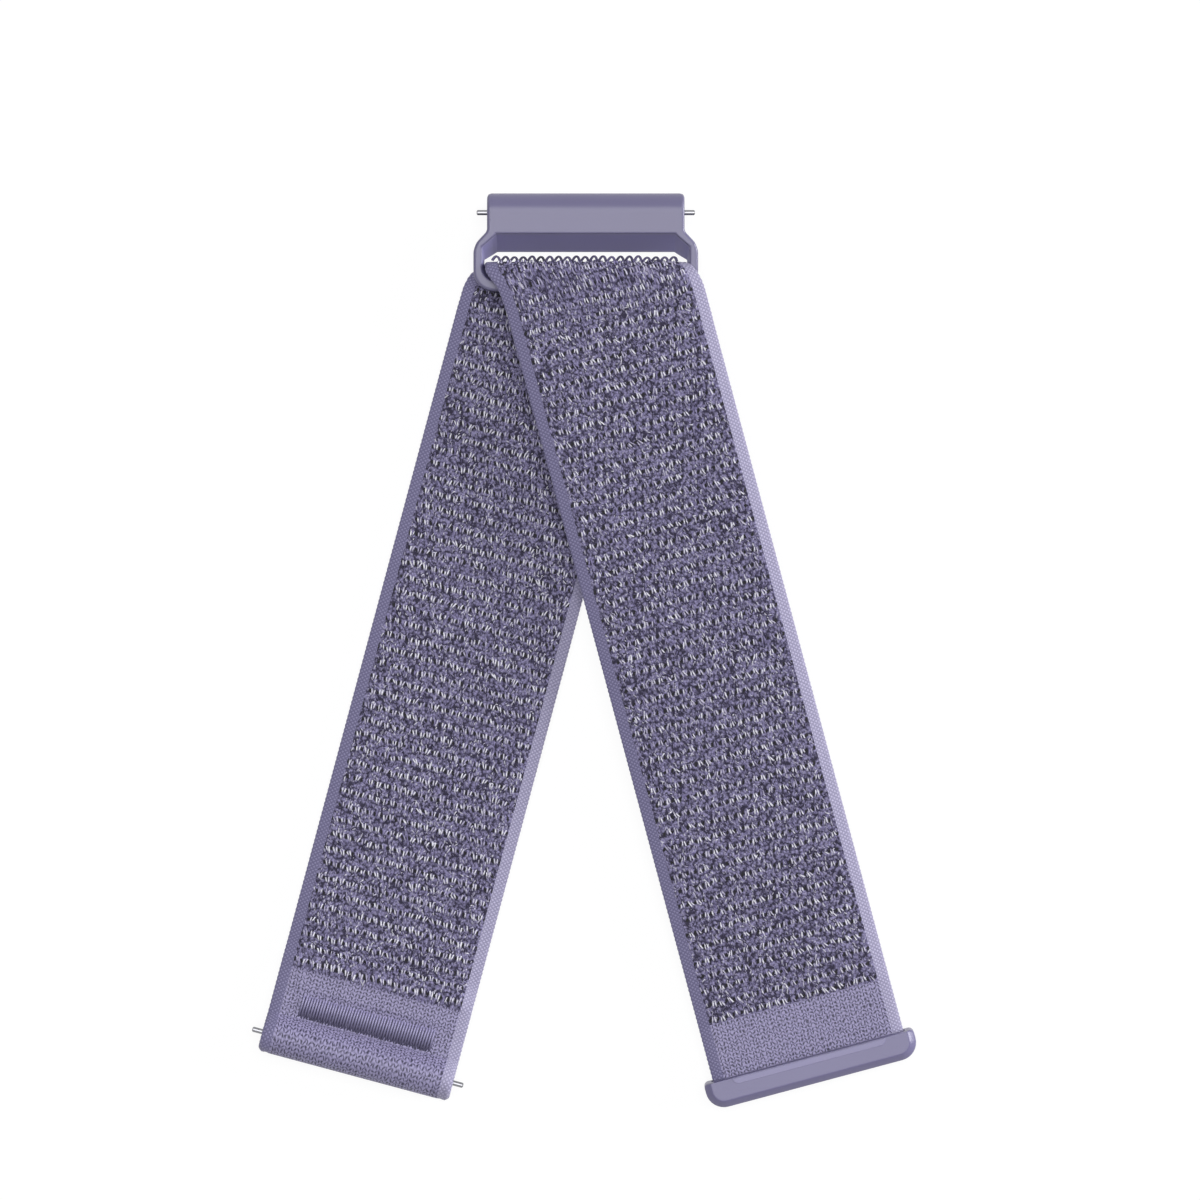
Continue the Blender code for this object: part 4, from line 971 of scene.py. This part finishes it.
def plate_outline(half, first, last, first_corner, last_corner, steps=8):
    """A rounded plate in the flap's plane, clockwise from its middle: distance across, and down."""
    upper = arc((half - first_corner, first + first_corner), first_corner, -90, 0, steps)
    lower = arc((half - last_corner, last - last_corner), last_corner, 0, 90, steps)
    return mirrored(np.concatenate([[(0, first)], upper, [(half, first + first_corner)], lower,
                                    [(half - last_corner, last), (0, last)]]))


def flap_plate(name, levels, material, outline):
    """A closed plate on the flap: an outline, set in by a first amount at each height, carried up
    through its levels and closed by a flat face at each end."""
    rows = np.stack([outline(inset) for inset, _ in levels])
    heights = np.array([height for _, height in levels])[:, None]
    points = strap_points(rows[..., 0], flap_place(rows[..., 1]), heights)
    return new_piece(name, points, tube_faces(*rows.shape[:2]), [material])


def hook_plastic():
    """Extruded nylon hook tape: smooth, a little translucent to the eye, so slightly uneven in tone."""
    material, tree = new_material("Extruded nylon hook tape", 0.38, IOR=1.53)
    place = add_node(tree, "TexCoord").outputs["Object"]
    cloud = add_node(tree, "TexNoise", Vector=place, Scale=1 / CLOUD_WIDTH, Detail=2.0)
    return paint(material, add_node(tree, "Mix", COLOURS, i0=cloud, i6="#4d485f", i7="#5d5870"))


hook_nylon = hook_plastic()
tape = flap_plate(
    "hook_tape", [(0.0, TAPE_FACES[1]), (0.0, TAPE_FACES[0])], hook_nylon,
    lambda inset: plate_outline(PATCH_HALF, *PATCH_SPAN, PATCH_CORNER, PATCH_CORNER))
hook_x, hook_t = np.meshgrid(
    np.arange(-HOOK_HALF, HOOK_HALF + 0.1 * MM, HOOK_PITCH[0]),
    np.arange(PATCH_SPAN[0] + HOOK_MARGINS[0], PATCH_SPAN[1] - HOOK_MARGINS[1], HOOK_PITCH[1]))
hook_x, hook_t = hook_x.ravel(), flap_place(hook_t.ravel())
points, faces = arches(hook_x, hook_t, 0.0, length=0.46 * MM, low=-TAPE_FACES[1] - SUNK, rise=0.3 * MM,
                       radius=0.07 * MM, face=-1, flat=0.6)
hooks = new_piece("hook_tape_hooks", points, faces, [hook_nylon])
for piece in (tape, hooks):
    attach(piece, "flap_end")
    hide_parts("hook_patch")

# End cap. The same satin nylon as the ring, moulded on the flap's end: a broad bevel round its front,
# large lower corners, and a low polished land along its upper edge where the mould closed on it. The
# land's colour is lighter than the cap's, as a painted highlight.
CAP_HALF = 11.81 * MM
CAP_SPAN = (FLAP_LENGTH, FLAP_LENGTH + 3.05 * MM)
CAP_HALF_DEPTH = 1.7 * MM
CAP_CORNERS = (0.5 * MM, 2.0 * MM)
LEAST_CORNER = 0.12 * MM
LAND_HALF = 8.6 * MM
LAND_HEIGHT = 0.8 * MM
LAND_DEPTH = 0.07 * MM
LAND_CORNERS = (0.1 * MM, 0.65 * MM)
SKIN = 0.03 * MM
CAP_SLOT = (2.3 * MM, 0.75 * MM)
SLOT_HALF = 10.9 * MM
SLOT_START = FLAP_LENGTH - 1 * MM


def cap_outline(inset):
    """The cap's outline set in all round, but hardly along its upper edge."""
    first, last = CAP_SPAN[0] + inset / 12, CAP_SPAN[1] - inset
    upper, lower = (max(corner - inset, LEAST_CORNER) for corner in CAP_CORNERS)
    return plate_outline(CAP_HALF - inset, first, last, upper, lower)


# How far in the outline is set at each height, in millimetres
bevel = [(0.0, 0.86), (0.02, 0.95), (0.07, 1.03), (0.66, 1.64), (0.7, 1.67), (0.75, 1.69), (0.82, 1.7),
         (0.92, 1.7)]
back = [(0.45, -1.7), (0.3, -1.69), (0.13, -1.57), (0.01, -1.4), (0.0, -1.25)]
cap_levels = [(inset * MM, height * MM) for inset, height in back + bevel]
cap_plastic = satin_plastic("Injection-moulded satin nylon, end cap", "#6d688f", 0.25)
# Painted highlight: the land's colour is lighter than the cap's, besides its polish
land_plastic_painted_highlight = satin_plastic("Injection-moulded satin nylon, polished land", "#7f7aa2", 0.1)
cap = flap_plate("end_cap_moulded", cap_levels, cap_plastic, cap_outline)
slot_corners = np.array([(x, s, h) for x in (-SLOT_HALF, SLOT_HALF)
                         for s in (SLOT_START, FLAP_LENGTH + CAP_SLOT[0])
                         for h in (-CAP_SLOT[1], CAP_SLOT[1])])
slot_corners = strap_points(slot_corners[:, 0], flap_place(slot_corners[:, 1]), slot_corners[:, 2])
cut_away(cap, new_piece("cutter", slot_corners, [face[::-1] for face in box_faces], []))
land_levels = [(0.0, CAP_HALF_DEPTH - LAND_DEPTH), (0.0, CAP_HALF_DEPTH + SKIN),
               (SKIN, CAP_HALF_DEPTH + 2 * SKIN)]
land_span = np.array((CAP_SPAN[0] + 2 * SKIN, CAP_SPAN[0] + LAND_HEIGHT))
land = flap_plate(
    "end_cap_land", land_levels, land_plastic_painted_highlight,
    lambda inset: plate_outline(LAND_HALF - inset, land_span[0], land_span[1] - inset, *LAND_CORNERS))
for piece in (land, cap):
    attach(piece, "flap_end")
    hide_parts("end_cap")

# Studio. A pale card under the strap, a soft lamp straight above it, a weaker broad one low on the
# right that models the edges, and a camera that looks straight down from about arm's length.
FLOOR_GAP = 0.03 * MM
LAMP_LEVEL = np.pi  # a sun that shows a colour as it is written
LAMPS = (("lamp above", 0.62, 50, (-6, 0, 0)), ("lamp at the right", 0.95, 30, (0, 80, 15)))
WORLD_LIGHT = 0.17
CAMERA_PLACE = (1.757 * MM, 5.493 * MM, 852.2 * MM)
LENS = 233.84  # for a sensor 36 wide, as the camera has it


def seen_directly(tree):
    """1 for what the camera, a reflection or a clear material sees directly, and 0 for light."""
    rays = add_node(tree, "LightPath").outputs
    seen = add_node(tree, "Math", "MAXIMUM", i0=rays["Is Camera Ray"], i1=rays["Is Glossy Ray"])
    return add_node(tree, "Math", "MAXIMUM", i0=seen, i1=rays["Is Transmission Ray"])


floor_corners = np.array(((-1, -1, 0), (1, -1, 0), (1, 1, 0), (-1, 1, 0))) - (0, 0, FLOOR_GAP)
floor = new_piece("floor", floor_corners, [(0, 1, 2, 3)], [])
card, tree = new_material("Matt white card", 0.9)
paint(card, "#e8e8e8")
glow = add_node(tree, "Emission", Color="#f4f4f4", Strength=1.0)
soft = add_node(tree, "BsdfDiffuse", Color="#626262")
paper = add_node(tree, "AddShader", i0=glow, i1=soft)
mix = add_node(tree, "MixShader", i0=seen_directly(tree), i1=tree.nodes["Principled BSDF"], i2=paper)
feed(tree, mix, tree.nodes["Material Output"].inputs["Surface"])
floor.data.materials.append(card)

for name, share, angle, turn in LAMPS:
    lamp = bpy.data.lights.new(name, "SUN")
    lamp.energy = share * LAMP_LEVEL
    lamp.angle = np.radians(angle)
    holder = bpy.data.objects.new(name, lamp)
    holder.rotation_euler = np.radians(turn)
    bpy.context.scene.collection.objects.link(holder)

world = bpy.data.worlds.new("studio")
bpy.context.scene.world = world
world.use_nodes = True
tree = world.node_tree
strength = add_node(tree, "MapRange", Value=seen_directly(tree), i3=WORLD_LIGHT, i4=1.0)
feed(tree, strength, tree.nodes["Background"].inputs["Strength"])
tree.nodes["Background"].inputs["Color"].default_value = (1, 1, 1, 1)

lens = bpy.data.cameras.new("camera")
lens.sensor_width = 36
lens.lens = LENS
lens.clip_start = 0.01
camera = bpy.data.objects.new("camera", lens)
camera.location = CAMERA_PLACE
bpy.context.scene.collection.objects.link(camera)
bpy.context.scene.camera = camera
bpy.context.scene.view_settings.view_transform = "Standard"
